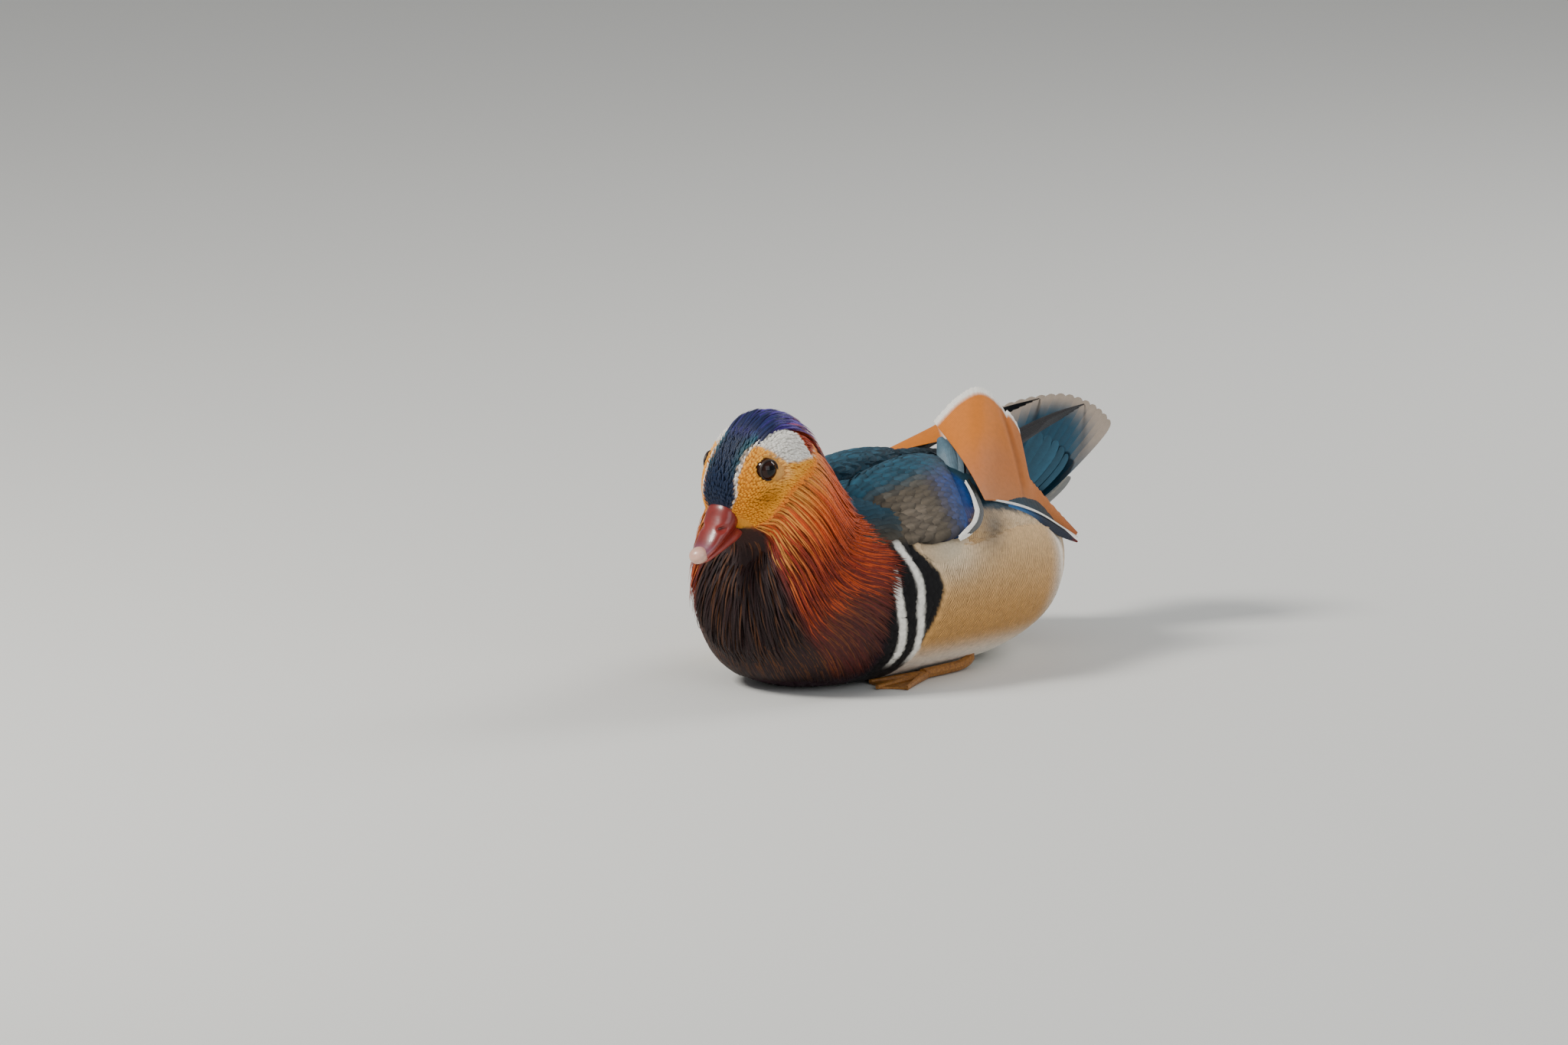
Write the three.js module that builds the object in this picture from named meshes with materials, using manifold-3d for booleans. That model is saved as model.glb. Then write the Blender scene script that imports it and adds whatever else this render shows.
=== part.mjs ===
// A life-size drake mandarin duck, resting on its belly in the pose of a swimming bird.
// Millimetres, +Z up. The bird faces -Y and its left side is +X. The origin is the middle of
// the flat of the belly, on the surface that the bird rests on.
import * as THREE from "three";
import { mergeVertices } from "three/addons/utils/BufferGeometryUtils.js";
import Module from "manifold-3d";

const wasm = await Module();
wasm.setup();

// Driving dimensions
const GAP = 0.3; // clear space between touching pieces
const FLOOR_TRIM = 2.0; // how much of the round belly the resting flat takes off
const NAIL = new THREE.Vector3(0, -132, 79.3); // middle of the bill's nail, before the head turns
const HEAD_PITCH = THREE.MathUtils.degToRad(30); // how far the bill points down
const HEAD_TURN = THREE.MathUtils.degToRad(-5); // the head turns to the bird's right
const TURN_PIVOT = new THREE.Vector3(0, -55, 0); // the upright axis that the head turns about
const EYE = { back: 49.5, up: 22.2, side: 17.6, radius: 6.4 };
const VANE_THICK = 0.9; // a flight or tail feather's vane
const LOCK_THICK = 1.3; // a hackle of the ruff
const TAIL_FEATHERS = 14;
const PRIMARIES = 5;
const SEED = 7;
const FINE = 0.12; // the smallest wrinkle that a cut leaves on a surface

const v3 = (x, y, z) => new THREE.Vector3(x, y, z);
const mix = THREE.MathUtils.lerp;

// A small seeded generator, so that the feathers vary alike on every run.
function seeded(seed) {
  let state = seed;
  return () => {
    state = (state * 1664525 + 1013904223) % 4294967296;
    return state / 4294967296;
  };
}

// A closed geometry as a manifold solid with its faces out.
function solidOf(geometry) {
  const bare = geometry.clone();
  bare.deleteAttribute("normal");
  bare.deleteAttribute("uv");
  const merged = mergeVertices(bare, 1e-4);
  const corners = merged.index.array;
  const kept = [];
  for (let i = 0; i < corners.length; i += 3) {
    const [a, b, c] = [corners[i], corners[i + 1], corners[i + 2]];
    if (a !== b && b !== c && a !== c) kept.push(a, b, c);
  }
  const vertProperties = new Float32Array(merged.attributes.position.array);
  const made = new wasm.Manifold(new wasm.Mesh({ numProp: 3, vertProperties, triVerts: new Uint32Array(kept) }));
  if (made.volume() > 0) return made;
  const turned = kept.map((_, i) => kept[i - (i % 3) + [0, 2, 1][i % 3]]);
  return new wasm.Manifold(new wasm.Mesh({ numProp: 3, vertProperties, triVerts: new Uint32Array(turned) }));
}

function geometryOf(solid) {
  const mesh = solid.getMesh();
  const positions = new Float32Array(mesh.numVert * 3);
  for (let i = 0; i < mesh.numVert; i++)
    positions.set(mesh.vertProperties.subarray(i * mesh.numProp, i * mesh.numProp + 3), i * 3);
  const geometry = new THREE.BufferGeometry();
  geometry.setAttribute("position", new THREE.BufferAttribute(positions, 3));
  geometry.setIndex(new THREE.BufferAttribute(mesh.triVerts, 1));
  return geometry;
}

const joined = (solids) => solids.reduce((sum, s) => sum.add(s));

// The largest closed surface of a solid: drops loose scraps and fills sealed hollows.
function largest(solid) {
  const pick = (s) => s.decompose().reduce((best, one) => (one.volume() > best.volume() ? one : best));
  return pick(pick(solid).simplify(FINE));
}

// A closed tube-like form bent out of a cylinder: place(along 0..1, angle, radius 0 or 1) gives each point.
function swept(sides, steps, place) {
  const geometry = new THREE.CylinderGeometry(1, 1, 1, sides, steps);
  const position = geometry.attributes.position;
  for (let i = 0; i < position.count; i++) {
    const radius = Math.min(1, Math.round(Math.hypot(position.getX(i), position.getZ(i))));
    const angle = radius ? Math.atan2(position.getX(i), position.getZ(i)) : 0;
    const p = place(0.5 - position.getY(i), angle, radius);
    position.setXYZ(i, p.x, p.y, p.z);
  }
  return solidOf(geometry);
}

// A smooth value through a list of numbers, read at 0..1 along it.
function along(list, t) {
  const x = THREE.MathUtils.clamp(t, 0, 1) * (list.length - 1);
  const i = Math.min(Math.floor(x), list.length - 2);
  const at = (k) => list[THREE.MathUtils.clamp(k, 0, list.length - 1)];
  const [a, b, c, d] = [at(i - 1), at(i), at(i + 1), at(i + 2)];
  const s = x - i;
  return b + 0.5 * s * (c - a + s * (2 * a - 5 * b + 4 * c - d + s * (3 * (b - c) + d - a)));
}

// A form given by rings. Each ring runs through a point of the upper line and one of the lower line,
// [x, y, z] both, and swells by a half-width to either side of the plane between them.
class Form {
  constructor(rings, { fullness = 2, bend = (p) => p } = {}) {
    this.columns = [0, 1, 2, 3, 4, 5, 6].map((k) => rings.map((r) => r.flat()[k]));
    this.fullness = fullness;
    this.bend = bend;
  }
  // Angle 0 is the upper line, and a positive angle goes round by the left.
  ring(t, grow = 0) {
    const [px, py, pz, qx, qy, qz, w] = this.columns.map((c) => along(c, t));
    const top = v3(px, py, pz);
    const low = v3(qx, qy, qz);
    const middle = top.clone().add(low).multiplyScalar(0.5);
    const half = top.distanceTo(low) / 2;
    const up = top.clone().sub(low).normalize();
    const later = this.columns.slice(0, 6).map((c) => along(c, Math.min(1, t + 0.02)));
    const sooner = this.columns.slice(0, 6).map((c) => along(c, Math.max(0, t - 0.02)));
    const go = v3(...[0, 1, 2].map((k) => later[k] + later[k + 3] - sooner[k] - sooner[k + 3]));
    const side = go.clone().cross(up).normalize();
    const end = t <= 0 ? -grow : t >= 1 ? grow : 0;
    middle.addScaledVector(go.normalize(), end);
    return { middle, up, side, half: half + grow, w: w + grow };
  }
  at(t, angle, grow = 0) {
    const r = this.ring(t, grow);
    const power = 2 / this.fullness;
    const c = Math.cos(angle);
    const s = Math.sin(angle);
    const rise = Math.sign(c) * Math.abs(c) ** power * r.half;
    const out = Math.sign(s) * Math.abs(s) ** power * r.w;
    return this.bend(r.middle.clone().addScaledVector(r.up, rise).addScaledVector(r.side, out));
  }
  normal(t, angle) {
    const e = 0.004;
    const a = this.at(Math.min(1, t + e), angle).sub(this.at(Math.max(0, t - e), angle));
    const b = this.at(t, angle + e * 6).sub(this.at(t, angle - e * 6));
    const n = a.cross(b).normalize();
    const outward = this.at(t, angle).sub(this.bend(this.ring(t).middle));
    return n.dot(outward) < 0 ? n.negate() : n;
  }
  solid(sides, steps, grow = 0) {
    return swept(sides, steps, (t, angle, radius) =>
      radius ? this.at(t, angle, grow) : this.bend(this.ring(t, grow).middle),
    );
  }
}

// A flat tapered feather along a list of { point, normal, width }: a low ridge in section, thin at its edges.
// It can be grown all round, as the clearance for a neighbour.
function vane(stations, thick, grow = 0) {
  const last = stations.length - 1;
  const frames = stations.map(({ point, normal, width }, i) => {
    const go = stations[Math.min(last, i + 1)].point.clone().sub(stations[Math.max(0, i - 1)].point);
    const side = normal.clone().cross(go).normalize();
    const end = i === 0 ? -grow : i === last ? grow : 0;
    const up = go.clone().cross(side).normalize();
    return { point: point.clone().addScaledVector(go.normalize(), end), side, up, width: width + 1.6 * grow };
  });
  return swept(3, last, (t, angle, radius) => {
    const f = frames[Math.round(t * last)];
    const p = f.point.clone();
    if (!radius) return p;
    const deep = (thick / 1.5) * (t > 0.99 ? 0.55 : 1) + 1.6 * grow;
    const out = (Math.sin(angle) * f.width) / Math.sin((2 * Math.PI) / 3);
    return p.addScaledVector(f.side, out).addScaledVector(f.up, Math.cos(angle) * deep);
  });
}

// The stations of a feather that lies on a form: it runs from t0 to t1, drifts round by an angle, starts sunk
// and ends lifted. widths lists its half-width from root to tip.
function layOn(form, { t0, t1, angle, drift = 0, sunk, lift, widths }) {
  return widths.map((width, i) => {
    const s = i / (widths.length - 1);
    const t = mix(t0, t1, s);
    const a = angle + drift * s;
    const normal = form.normal(t, a);
    return { point: form.at(t, a).addScaledVector(normal, mix(-sunk, lift, Math.min(1, s * 1.6))), normal, width };
  });
}

// The head turns about an upright axis, fully at the face and less and less down the neck.
function turned(p, share) {
  return p.clone().sub(TURN_PIVOT).applyAxisAngle(v3(0, 0, 1), HEAD_TURN * share).add(TURN_PIVOT);
}
const headBend = (p) => turned(p, THREE.MathUtils.smoothstep(p.z, 30, 95));

// A point of the head from how far it lies back along the bill's axis, up from it and to the left.
function onHead(back, up, side) {
  const [c, s] = [Math.cos(HEAD_PITCH), Math.sin(HEAD_PITCH)];
  return turned(v3(side, NAIL.y + back * c - up * s, NAIL.z + back * s + up * c), 1);
}

// The neck's loft: upper line, lower line and half-width, from the face to inside the breast.
// Lengths are measured back from the nail (first number) and up from the floor (second).
const HEAD_RINGS = [
  [14.0, 103.0, 25.0, 90.0, 8.5],
  [12.0, 110.5, 27.0, 86.0, 12.0],
  [13.5, 119.5, 31.0, 83.0, 16.5],
  [18.5, 129.5, 33.0, 80.0, 20.5],
  [26.0, 139.0, 34.0, 76.0, 23.0],
  [36.0, 147.0, 33.0, 72.0, 25.0],
  [47.5, 151.5, 30.0, 67.0, 28.0],
  [60.0, 150.5, 27.0, 60.0, 32.0],
  [70.0, 145.5, 25.5, 53.0, 36.5],
  [78.0, 138.0, 24.5, 46.0, 41.0],
  [84.0, 128.0, 24.0, 38.0, 45.0],
  [91.0, 116.0, 25.0, 30.0, 48.5],
  [104.0, 105.0, 28.0, 22.0, 50.0],
  [122.0, 98.0, 36.0, 16.0, 46.0],
].map(([f1, z1, f2, z2, w]) => [[0, NAIL.y + f1, z1], [0, NAIL.y + f2, z2], w]);
const FACE_END = [0.46, 0.5]; // where along the loft the head gives way to the neck
const headNeck = new Form(HEAD_RINGS, { fullness: 2.2, bend: headBend });

// The trunk: distance along Y, top, bottom and half-width.
const TRUNK_RINGS = [
  [-104, 52, 44, 3],
  [-101, 68, 27, 20],
  [-92, 82, 12, 36],
  [-76, 93, 3, 50],
  [-54, 99, -1, 60],
  [-28, 101, -2, 67],
  [0, 102, -2, 71],
  [30, 101, -2, 73],
  [60, 97, -1, 72],
  [88, 89, 5, 66],
  [110, 80, 13, 54],
  [132, 72, 23, 39],
  [150, 65, 35, 23],
  [158, 57, 45, 6],
].map(([y, top, low, w]) => [[0, y, top], [0, y, low], w]);
const trunk = new Form(TRUNK_RINGS, { fullness: 2.25 });
const TRUNK_SIDES = 28;
const TRUNK_STEPS = 20;
const NECK_SIDES = 26;
const NECK_STEPS = 22;

// The shoulder feathers' mound on the left, from the ruff to the white crescent.
const SHOULDER_RINGS = [
  [[14, -38, 97], [48, -44, 76], 3],
  [[9, -18, 105], [60, -34, 68], 10],
  [[7, 8, 108], [67, -20, 64], 15],
  [[8, 30, 109], [69, -4, 67], 15.5],
  [[11, 46, 108], [66, 6, 72], 11.5],
  [[15, 56, 105], [61, 14, 79], 5],
];
// The folded wing below and behind it.
const WING_RINGS = [
  [[14, 4, 98], [62, -6, 70], 4],
  [[13, 34, 104], [66, 18, 72], 9],
  [[13, 64, 105], [63, 50, 72], 10],
  [[13, 94, 101], [56, 86, 67], 9],
  [[12, 120, 94], [47, 116, 62], 4],
];

// Each sail: the shaft's line and the free margin of the broad upright web, front to tip.
// The right one is folded further down than the left one.
const SAIL_LEFT = {
  shaft: [[42, 38, 92], [44, 62, 85], [46, 86, 77], [47, 108, 68], [48, 132, 58]],
  margin: [[4, 61, 126], [13, 70, 139], [21, 79, 144], [30, 86, 136], [39, 91, 123], [42, 100, 106], [45, 113, 87], [48, 133, 60]],
};
const SAIL_RIGHT = {
  shaft: [[42, 54, 91], [44, 72, 84], [46, 92, 76], [47, 112, 68], [48, 132, 58]],
  margin: [[4, 90, 112], [13, 97, 118], [21, 104, 118], [29, 108, 113], [36, 110, 105], [41, 113, 96], [44, 119, 82], [48, 133, 60]],
};

// What rests on the floor ends in a flat there.
const below = solidOf(new THREE.BoxGeometry(400, 500, 40).translate(0, 0, -20));

// Everything in front of a slanting plane through two points of the side view.
function slab(front, back, thick, depth) {
  const middle = front.clone().add(back).multiplyScalar(0.5);
  const slant = Math.atan2(back.z - front.z, back.y - front.y);
  const box = new THREE.BoxGeometry(300, 400, depth);
  box.translate(0, 0, depth / 2 + thick / 2);
  box.rotateX(slant);
  box.translate(middle.x, middle.y, middle.z);
  return solidOf(box);
}

// The parting between head and neck leans from the crown down to the throat.
const PART_TOP = v3(0, NAIL.y + 62, 152);
const PART_LOW = v3(0, NAIL.y + 27, 77);

function headSolids() {
  const whole = headNeck.solid(NECK_SIDES, NECK_STEPS);
  const front = slab(PART_LOW, PART_TOP, GAP, 120);
  const rear = slab(PART_LOW, PART_TOP, -GAP, 300);
  const skull = whole.intersect(front);
  const neck = whole.subtract(rear);
  return { skull, neck };
}

function headNode(skull) {
  const eyes = [1, -1].map((side) => eyeBall(side, EYE.radius + GAP));
  const lids = [1, -1].map((side) => {
    const ring = new THREE.TorusGeometry(EYE.radius - 0.8, 1.1, 5, 16);
    const outward = onHead(EYE.back - 2, EYE.up + 1.2, side * 12).sub(onHead(EYE.back, EYE.up, 0)).normalize();
    ring.applyQuaternion(new THREE.Quaternion().setFromUnitVectors(v3(0, 0, 1), outward));
    const centre = onHead(EYE.back, EYE.up, side * EYE.side).addScaledVector(outward, 3.2);
    ring.translate(centre.x, centre.y, centre.z);
    return solidOf(ring);
  });
  return largest(joined([skull, ...lids]).subtract(joined(eyes)));
}

function eyeBall(side, radius) {
  const centre = onHead(EYE.back, EYE.up, side * EYE.side);
  const ball = new THREE.SphereGeometry(radius, 14, 9);
  ball.rotateZ(Math.PI / 2);
  ball.translate(centre.x, centre.y, centre.z);
  return solidOf(ball);
}

// The bill's rings lie along its own axis: [back, top, bottom, half-width].
function billForm(rows) {
  const rings = rows.map(([back, top, low, w]) => {
    const [p, q] = [onHead(back, top, 0), onHead(back, low, 0)];
    return [[p.x, p.y, p.z], [q.x, q.y, q.z], w];
  });
  return new Form(rings, { fullness: 2.2 });
}
const upperBill = billForm([
  [-4.6, 0.2, -1.4, 0.6],
  [-4.0, 1.6, -2.8, 2.8],
  [-1.5, 2.8, -3.0, 4.9],
  [3.0, 3.5, -2.2, 6.4],
  [8.0, 5.0, -1.8, 7.6],
  [13.0, 7.6, -1.6, 8.3],
  [19.0, 11.6, -1.4, 9.0],
  [24.0, 15.0, -1.0, 9.5],
  [29.0, 15.5, 0.0, 8.5],
  [34.0, 11.0, 3.0, 5.0],
]);
const lowerBill = billForm([
  [-2.0, -2.6, -4.0, 1.5],
  [1.0, -1.5, -4.8, 4.6],
  [8.0, -0.8, -5.4, 6.4],
  [16.0, -0.4, -6.2, 7.6],
  [24.0, 0.0, -7.2, 8.0],
  [34.0, 0.0, -6.5, 5.0],
]);

function upperBillNode(skullGrown) {
  const nail = new THREE.SphereGeometry(1, 12, 8);
  nail.scale(4.6, 4.8, 3.0);
  nail.rotateX(HEAD_PITCH);
  const tip = onHead(-0.6, 0.9, 0);
  nail.translate(tip.x, tip.y, tip.z);
  const nostrils = [1, -1].map((side) => {
    const pit = new THREE.SphereGeometry(1, 8, 6);
    pit.scale(2.4, 2.3, 1.1);
    pit.rotateX(HEAD_PITCH + 0.35);
    const p = onHead(15.5, 6.6, side * 7.2);
    pit.translate(p.x, p.y, p.z);
    return solidOf(pit);
  });
  const whole = joined([upperBill.solid(14, 10), solidOf(nail)]);
  return largest(whole.subtract(joined(nostrils)).subtract(skullGrown));
}

// Hackles of the ruff: rows of long pointed locks that hang back and down from the cheeks and throat.
function ruffLocks() {
  const random = seeded(SEED);
  const rows = [
    { t0: 0.46, t1: 0.76, from: 42, to: 176, count: 6, width: 3.8 },
    { t0: 0.54, t1: 0.86, from: 36, to: 178, count: 7, width: 4.2 },
    { t0: 0.62, t1: 0.95, from: 32, to: 178, count: 7, width: 4.6 },
  ];
  const locks = [];
  rows.forEach(({ t0, t1, from, to, count, width }, row) => {
    for (const side of [1, -1])
      for (let i = 0; i < count; i++) {
        const angle = THREE.MathUtils.degToRad(mix(from, to, (i + 0.5 * (row % 2)) / count) + 3 * random());
        const reach = t1 - 0.04 * random();
        const widths = [0.8, 1, 0.75, 0.06].map((k) => k * width);
        const stations = layOn(headNeck, { t0, t1: reach, angle: side * angle, sunk: 3.2, lift: 1.6 + random(), widths });
        locks.push(vane(stations, LOCK_THICK));
      }
  });
  return locks;
}

// The crest: long feathers from the crown that lie over the nape, one over another.
function crestVanes(grow = 0) {
  const random = seeded(SEED + 1);
  const vanes = [];
  [
    { t0: 0.4, t1: 0.66, spread: 18, count: 3, lift: 1.6 },
    { t0: 0.46, t1: 0.76, spread: 17, count: 4, lift: 2.4 },
    { t0: 0.53, t1: 0.88, spread: 13, count: 3, lift: 3.0 },
  ].forEach(({ t0, t1, spread, count, lift }) => {
    for (let i = 0; i < count; i++) {
      const whole = THREE.MathUtils.degToRad(mix(-spread, spread, i / (count - 1)));
      const [angle, drift] = [whole * 0.3, whole * 0.7];
      const widths = [2.4, 3.4, 2.8, 0.3];
      const reach = t1 - 0.03 * random();
      const stations = layOn(headNeck, { t0, t1: reach, angle, drift, sunk: 0, lift: lift + random(), widths });
      vanes.push(vane(stations, 1.5, grow));
    }
  });
  return vanes;
}

// The crest's own core: a low ridge along the top of the head, at most half as deep as the feathers.
function crestCore(grow = 0) {
  const steps = 14;
  const stations = Array.from({ length: steps + 1 }, (_, i) => {
    const t = mix(0.38, 0.82, i / steps);
    const width = 9 * Math.sin(Math.PI * mix(0.12, 0.93, i / steps));
    return { point: headNeck.at(t, 0).addScaledVector(headNeck.normal(t, 0), -0.6), normal: headNeck.normal(t, 0), width };
  });
  return vane(stations, 4.6, grow);
}

// Mirrors a solid to the bird's right.
const mirrored = (solid) => solid.mirror([1, 0, 0]);

// Rows of broad rounded feathers over a form, overlapping like slates.
function tiers(form, rows, thick) {
  const feathers = [];
  rows.forEach(({ t0, t1, from, to, count, width, lift }) => {
    for (let i = 0; i < count; i++) {
      const angle = THREE.MathUtils.degToRad(mix(from, to, count > 1 ? i / (count - 1) : 0.5));
      const widths = [0.6, 1, 0.95, 0.3].map((k) => k * width);
      feathers.push(vane(layOn(form, { t0, t1, angle, sunk: 1.4, lift, widths }), thick));
    }
  });
  return feathers;
}

const shoulder = new Form(SHOULDER_RINGS, { fullness: 2.1 });
const wing = new Form(WING_RINGS, { fullness: 2.2 });

function shoulderNode(clear) {
  const rows = [
    { t0: 0.2, t1: 0.55, from: 35, to: 140, count: 3, width: 10, lift: 1.0 },
    { t0: 0.44, t1: 0.78, from: 22, to: 148, count: 4, width: 9.5, lift: 1.2 },
    { t0: 0.66, t1: 0.99, from: 30, to: 135, count: 3, width: 9.5, lift: 1.5 },
  ];
  const whole = joined([shoulder.solid(16, 8), ...tiers(shoulder, rows, 1.4)]);
  return largest(whole.subtract(clear)).simplify(FINE);
}

// The primaries lie in a narrow bundle that crosses the rump, each a little shorter than the one above.
function primaries(grow = 0) {
  return Array.from({ length: PRIMARIES }, (_, i) => {
    const s = i / (PRIMARIES - 1);
    const root = v3(27 + 5 * s, 84, 90 - 6 * s);
    const bend = v3(21 + 5 * s, 128, 104 - 7 * s);
    const tip = v3(12 + 4 * s, 186 - 17 * s, 118 - 7 * s);
    const line = new THREE.QuadraticBezierCurve3(root, bend, tip);
    const normal = v3(0.75, 0.1, 0.65).normalize();
    const widths = [4, 5, 5, 4.6, 3.6, 0.4];
    return vane(widths.map((width, k) => ({ point: line.getPoint(k / 5), normal, width })), VANE_THICK, grow);
  });
}

function wingNode(clear) {
  const rows = [
    { t0: 0.3, t1: 0.66, from: 62, to: 112, count: 2, width: 8, lift: 1.1 },
    { t0: 0.52, t1: 0.94, from: 62, to: 110, count: 2, width: 7.5, lift: 1.3 },
  ];
  const whole = joined([wing.solid(12, 6), ...tiers(wing, rows, 1.1), ...primaries()]);
  return largest(whole.subtract(clear)).simplify(FINE);
}

// The sail: a curved upright plate between the shaft and the free margin, with the narrow outer web below it.
function sailSolid(lines, grow = 0) {
  const shaft = new THREE.CatmullRomCurve3(lines.shaft.map((p) => v3(...p)));
  const margin = new THREE.CatmullRomCurve3(lines.margin.map((p) => v3(...p)));
  const plate = new THREE.BoxGeometry(1, 1, 1, 1, 9, 7);
  const position = plate.attributes.position;
  for (let i = 0; i < position.count; i++) {
    const u = position.getY(i) + 0.5;
    const h = position.getZ(i) + 0.5;
    const low = shaft.getPoint(u * 0.985);
    const high = margin.getPoint(u);
    const p = low.lerp(high, h + 2 * grow * (h - 0.5) * 0.05);
    const belly = 7 * Math.sin(Math.PI * h) * (1 - u);
    const out = v3(0.8, -0.55, 0.1).normalize();
    p.addScaledVector(out, belly + position.getX(i) * (mix(1.6, 0.8, h) + 2.6 * grow));
    position.setXYZ(i, p.x, p.y, p.z);
  }
  const web = lines.shaft.map(([x, y, z], i) => ({
    point: v3(x + 2.4, y, z - 2.6),
    normal: v3(0.8, 0, 0.5).normalize(),
    width: [2, 4.4, 5, 4.6, 0.8][i],
  }));
  return joined([solidOf(plate), vane(web, 1.6, grow)]);
}

// Tail feathers fan out from the rump, the middle ones longest and on top.
function tailNode(clear) {
  const root = v3(0, 126, 70);
  const pitch = THREE.MathUtils.degToRad(41);
  const feathers = Array.from({ length: TAIL_FEATHERS }, (_, i) => {
    const s = (2 * i) / (TAIL_FEATHERS - 1) - 1;
    const fan = s * THREE.MathUtils.degToRad(19);
    const length = 82 - 9 * s * s;
    const stations = [0, 0.5, 0.88, 1].map((k, j) => {
      const reach = k * length;
      const lift = pitch * mix(0.8, 1, k);
      const point = root.clone().add(
        v3(s * 12 + Math.sin(fan) * reach, Math.cos(lift) * Math.cos(fan) * reach, Math.sin(lift) * reach - 3.4 * Math.abs(s)),
      );
      return { point, normal: v3(-s * 0.25, -Math.sin(pitch), Math.cos(pitch)).normalize(), width: [3, 5.4, 5.8, 2.6][j] };
    });
    return vane(stations, VANE_THICK);
  });
  const coverts = [
    { count: 4, length: 50, rise: 3.2, spread: 14, tilt: 0.92 },
    { count: 3, length: 34, rise: 4.4, spread: 10, tilt: 0.86 },
    { count: 4, length: 44, rise: -4.2, spread: 13, tilt: 0.7 },
  ].flatMap(({ count, length, rise, spread, tilt }) =>
    Array.from({ length: count }, (_, i) => {
      const s = (2 * i) / (count - 1) - 1;
      const fan = s * THREE.MathUtils.degToRad(spread);
      const stations = [0, 0.4, 0.75, 1].map((k, j) => {
        const reach = k * length * (1 - 0.1 * s * s);
        const lift = pitch * tilt;
        const point = root.clone().add(
          v3(s * 9 + Math.sin(fan) * reach, Math.cos(lift) * reach, Math.sin(lift) * reach + rise - 2.6 * Math.abs(s)),
        );
        return { point, normal: v3(-s * 0.3, -0.7, 0.7).normalize(), width: [5, 7.2, 6.6, 1.6][j] };
      });
      return vane(stations, 1.6);
    }),
  );
  const stump = new THREE.SphereGeometry(1, 14, 8);
  stump.scale(17, 26, 9);
  stump.rotateX(pitch * 0.75);
  stump.translate(root.x, root.y + 8, root.z + 4);
  return largest(joined([solidOf(stump), ...feathers, ...coverts]).subtract(clear));
}

// A leg folded on the floor beside the belly: heel behind, webbed toes in front.
const FOOT = { x: 47, heel: 34, ankle: -4, radius: 2.6 };
function footSolid() {
  const base = v3(FOOT.x, FOOT.ankle, 2.2);
  const toes = [-0.4, -0.02, 0.36].map((turn, i) => {
    const length = [34, 42, 36][i];
    const tip = v3(FOOT.x + Math.sin(turn) * length, FOOT.ankle - Math.cos(turn) * length, 1.6);
    return swept(8, 4, (t, angle, radius) => {
      const r = radius * FOOT.radius * mix(1, 0.45, t);
      return base.clone().lerp(tip, t).add(v3(Math.sin(angle) * r, 0, Math.cos(angle) * r));
    });
  });
  const outline = new THREE.Shape();
  outline.moveTo(FOOT.x, FOOT.ankle + 2);
  outline.lineTo(FOOT.x - 14, FOOT.ankle - 31);
  outline.quadraticCurveTo(FOOT.x - 6, FOOT.ankle - 33, FOOT.x - 1, FOOT.ankle - 40);
  outline.quadraticCurveTo(FOOT.x + 6, FOOT.ankle - 33, FOOT.x + 13, FOOT.ankle - 33);
  outline.closePath();
  const web = new THREE.ExtrudeGeometry(outline, { depth: 1.2, bevelEnabled: false, curveSegments: 3 });
  web.translate(0, 0, 0.2);
  return joined([...toes, solidOf(web), shank()]);
}

// The shank lies on the floor from the ankle back to the heel, then turns up into the belly.
function shank() {
  const line = new THREE.CatmullRomCurve3([
    v3(FOOT.x, FOOT.ankle - 2, 2.9),
    v3(FOOT.x + 1, 12, 3.0),
    v3(FOOT.x + 1, 28, 3.4),
    v3(FOOT.x, FOOT.heel + 2, 6.5),
    v3(FOOT.x - 3, FOOT.heel - 1, 13),
    v3(FOOT.x - 7, FOOT.heel - 6, 21),
  ]);
  return swept(8, 12, (t, angle, radius) => {
    const p = line.getPoint(t);
    const go = line.getTangent(t);
    const side = v3(1, 0, 0);
    const up = side.clone().cross(go).normalize();
    const r = radius * mix(2.9, 4.6, THREE.MathUtils.smoothstep(t, 0.5, 1));
    return p.addScaledVector(side, Math.sin(angle) * r).addScaledVector(up, Math.cos(angle) * r);
  });
}

// Assembly
const { skull, neck } = headSolids();
const floorless = (solid) => solid.subtract(below);
const trunkWhole = floorless(trunk.solid(TRUNK_SIDES, TRUNK_STEPS));
const trunkGrown = trunk.solid(TRUNK_SIDES, TRUNK_STEPS, GAP + 0.15);
const skullShell = headNeck.solid(NECK_SIDES, NECK_STEPS, GAP + 0.2);
const skullGrown = skullShell.add(skullShell.translate([0, -0.4, -0.6]));
const breastEnd = v3(0, -40, 0);
const breastSide = (thick) => slab(breastEnd, breastEnd.clone().add(v3(0, -0.001, 100)), thick, 200);
const faceSide = slab(PART_LOW, PART_TOP, -GAP, 300);

const foot = largest(floorless(footSolid()).subtract(trunkGrown));

const upper = upperBillNode(skullGrown);
const lower = largest(lowerBill.solid(14, 8).subtract(upperBill.solid(14, 10, GAP + 0.1)).subtract(skullGrown));

const crest = largest(joined([crestCore(), ...crestVanes()]).subtract(skullGrown).subtract(trunkGrown));
const ruff = joined([neck, ...ruffLocks()]).subtract(trunkGrown).subtract(faceSide);
const neckNode = largest(ruff.subtract(joined([crestCore(GAP), ...crestVanes(GAP)])));

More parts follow.
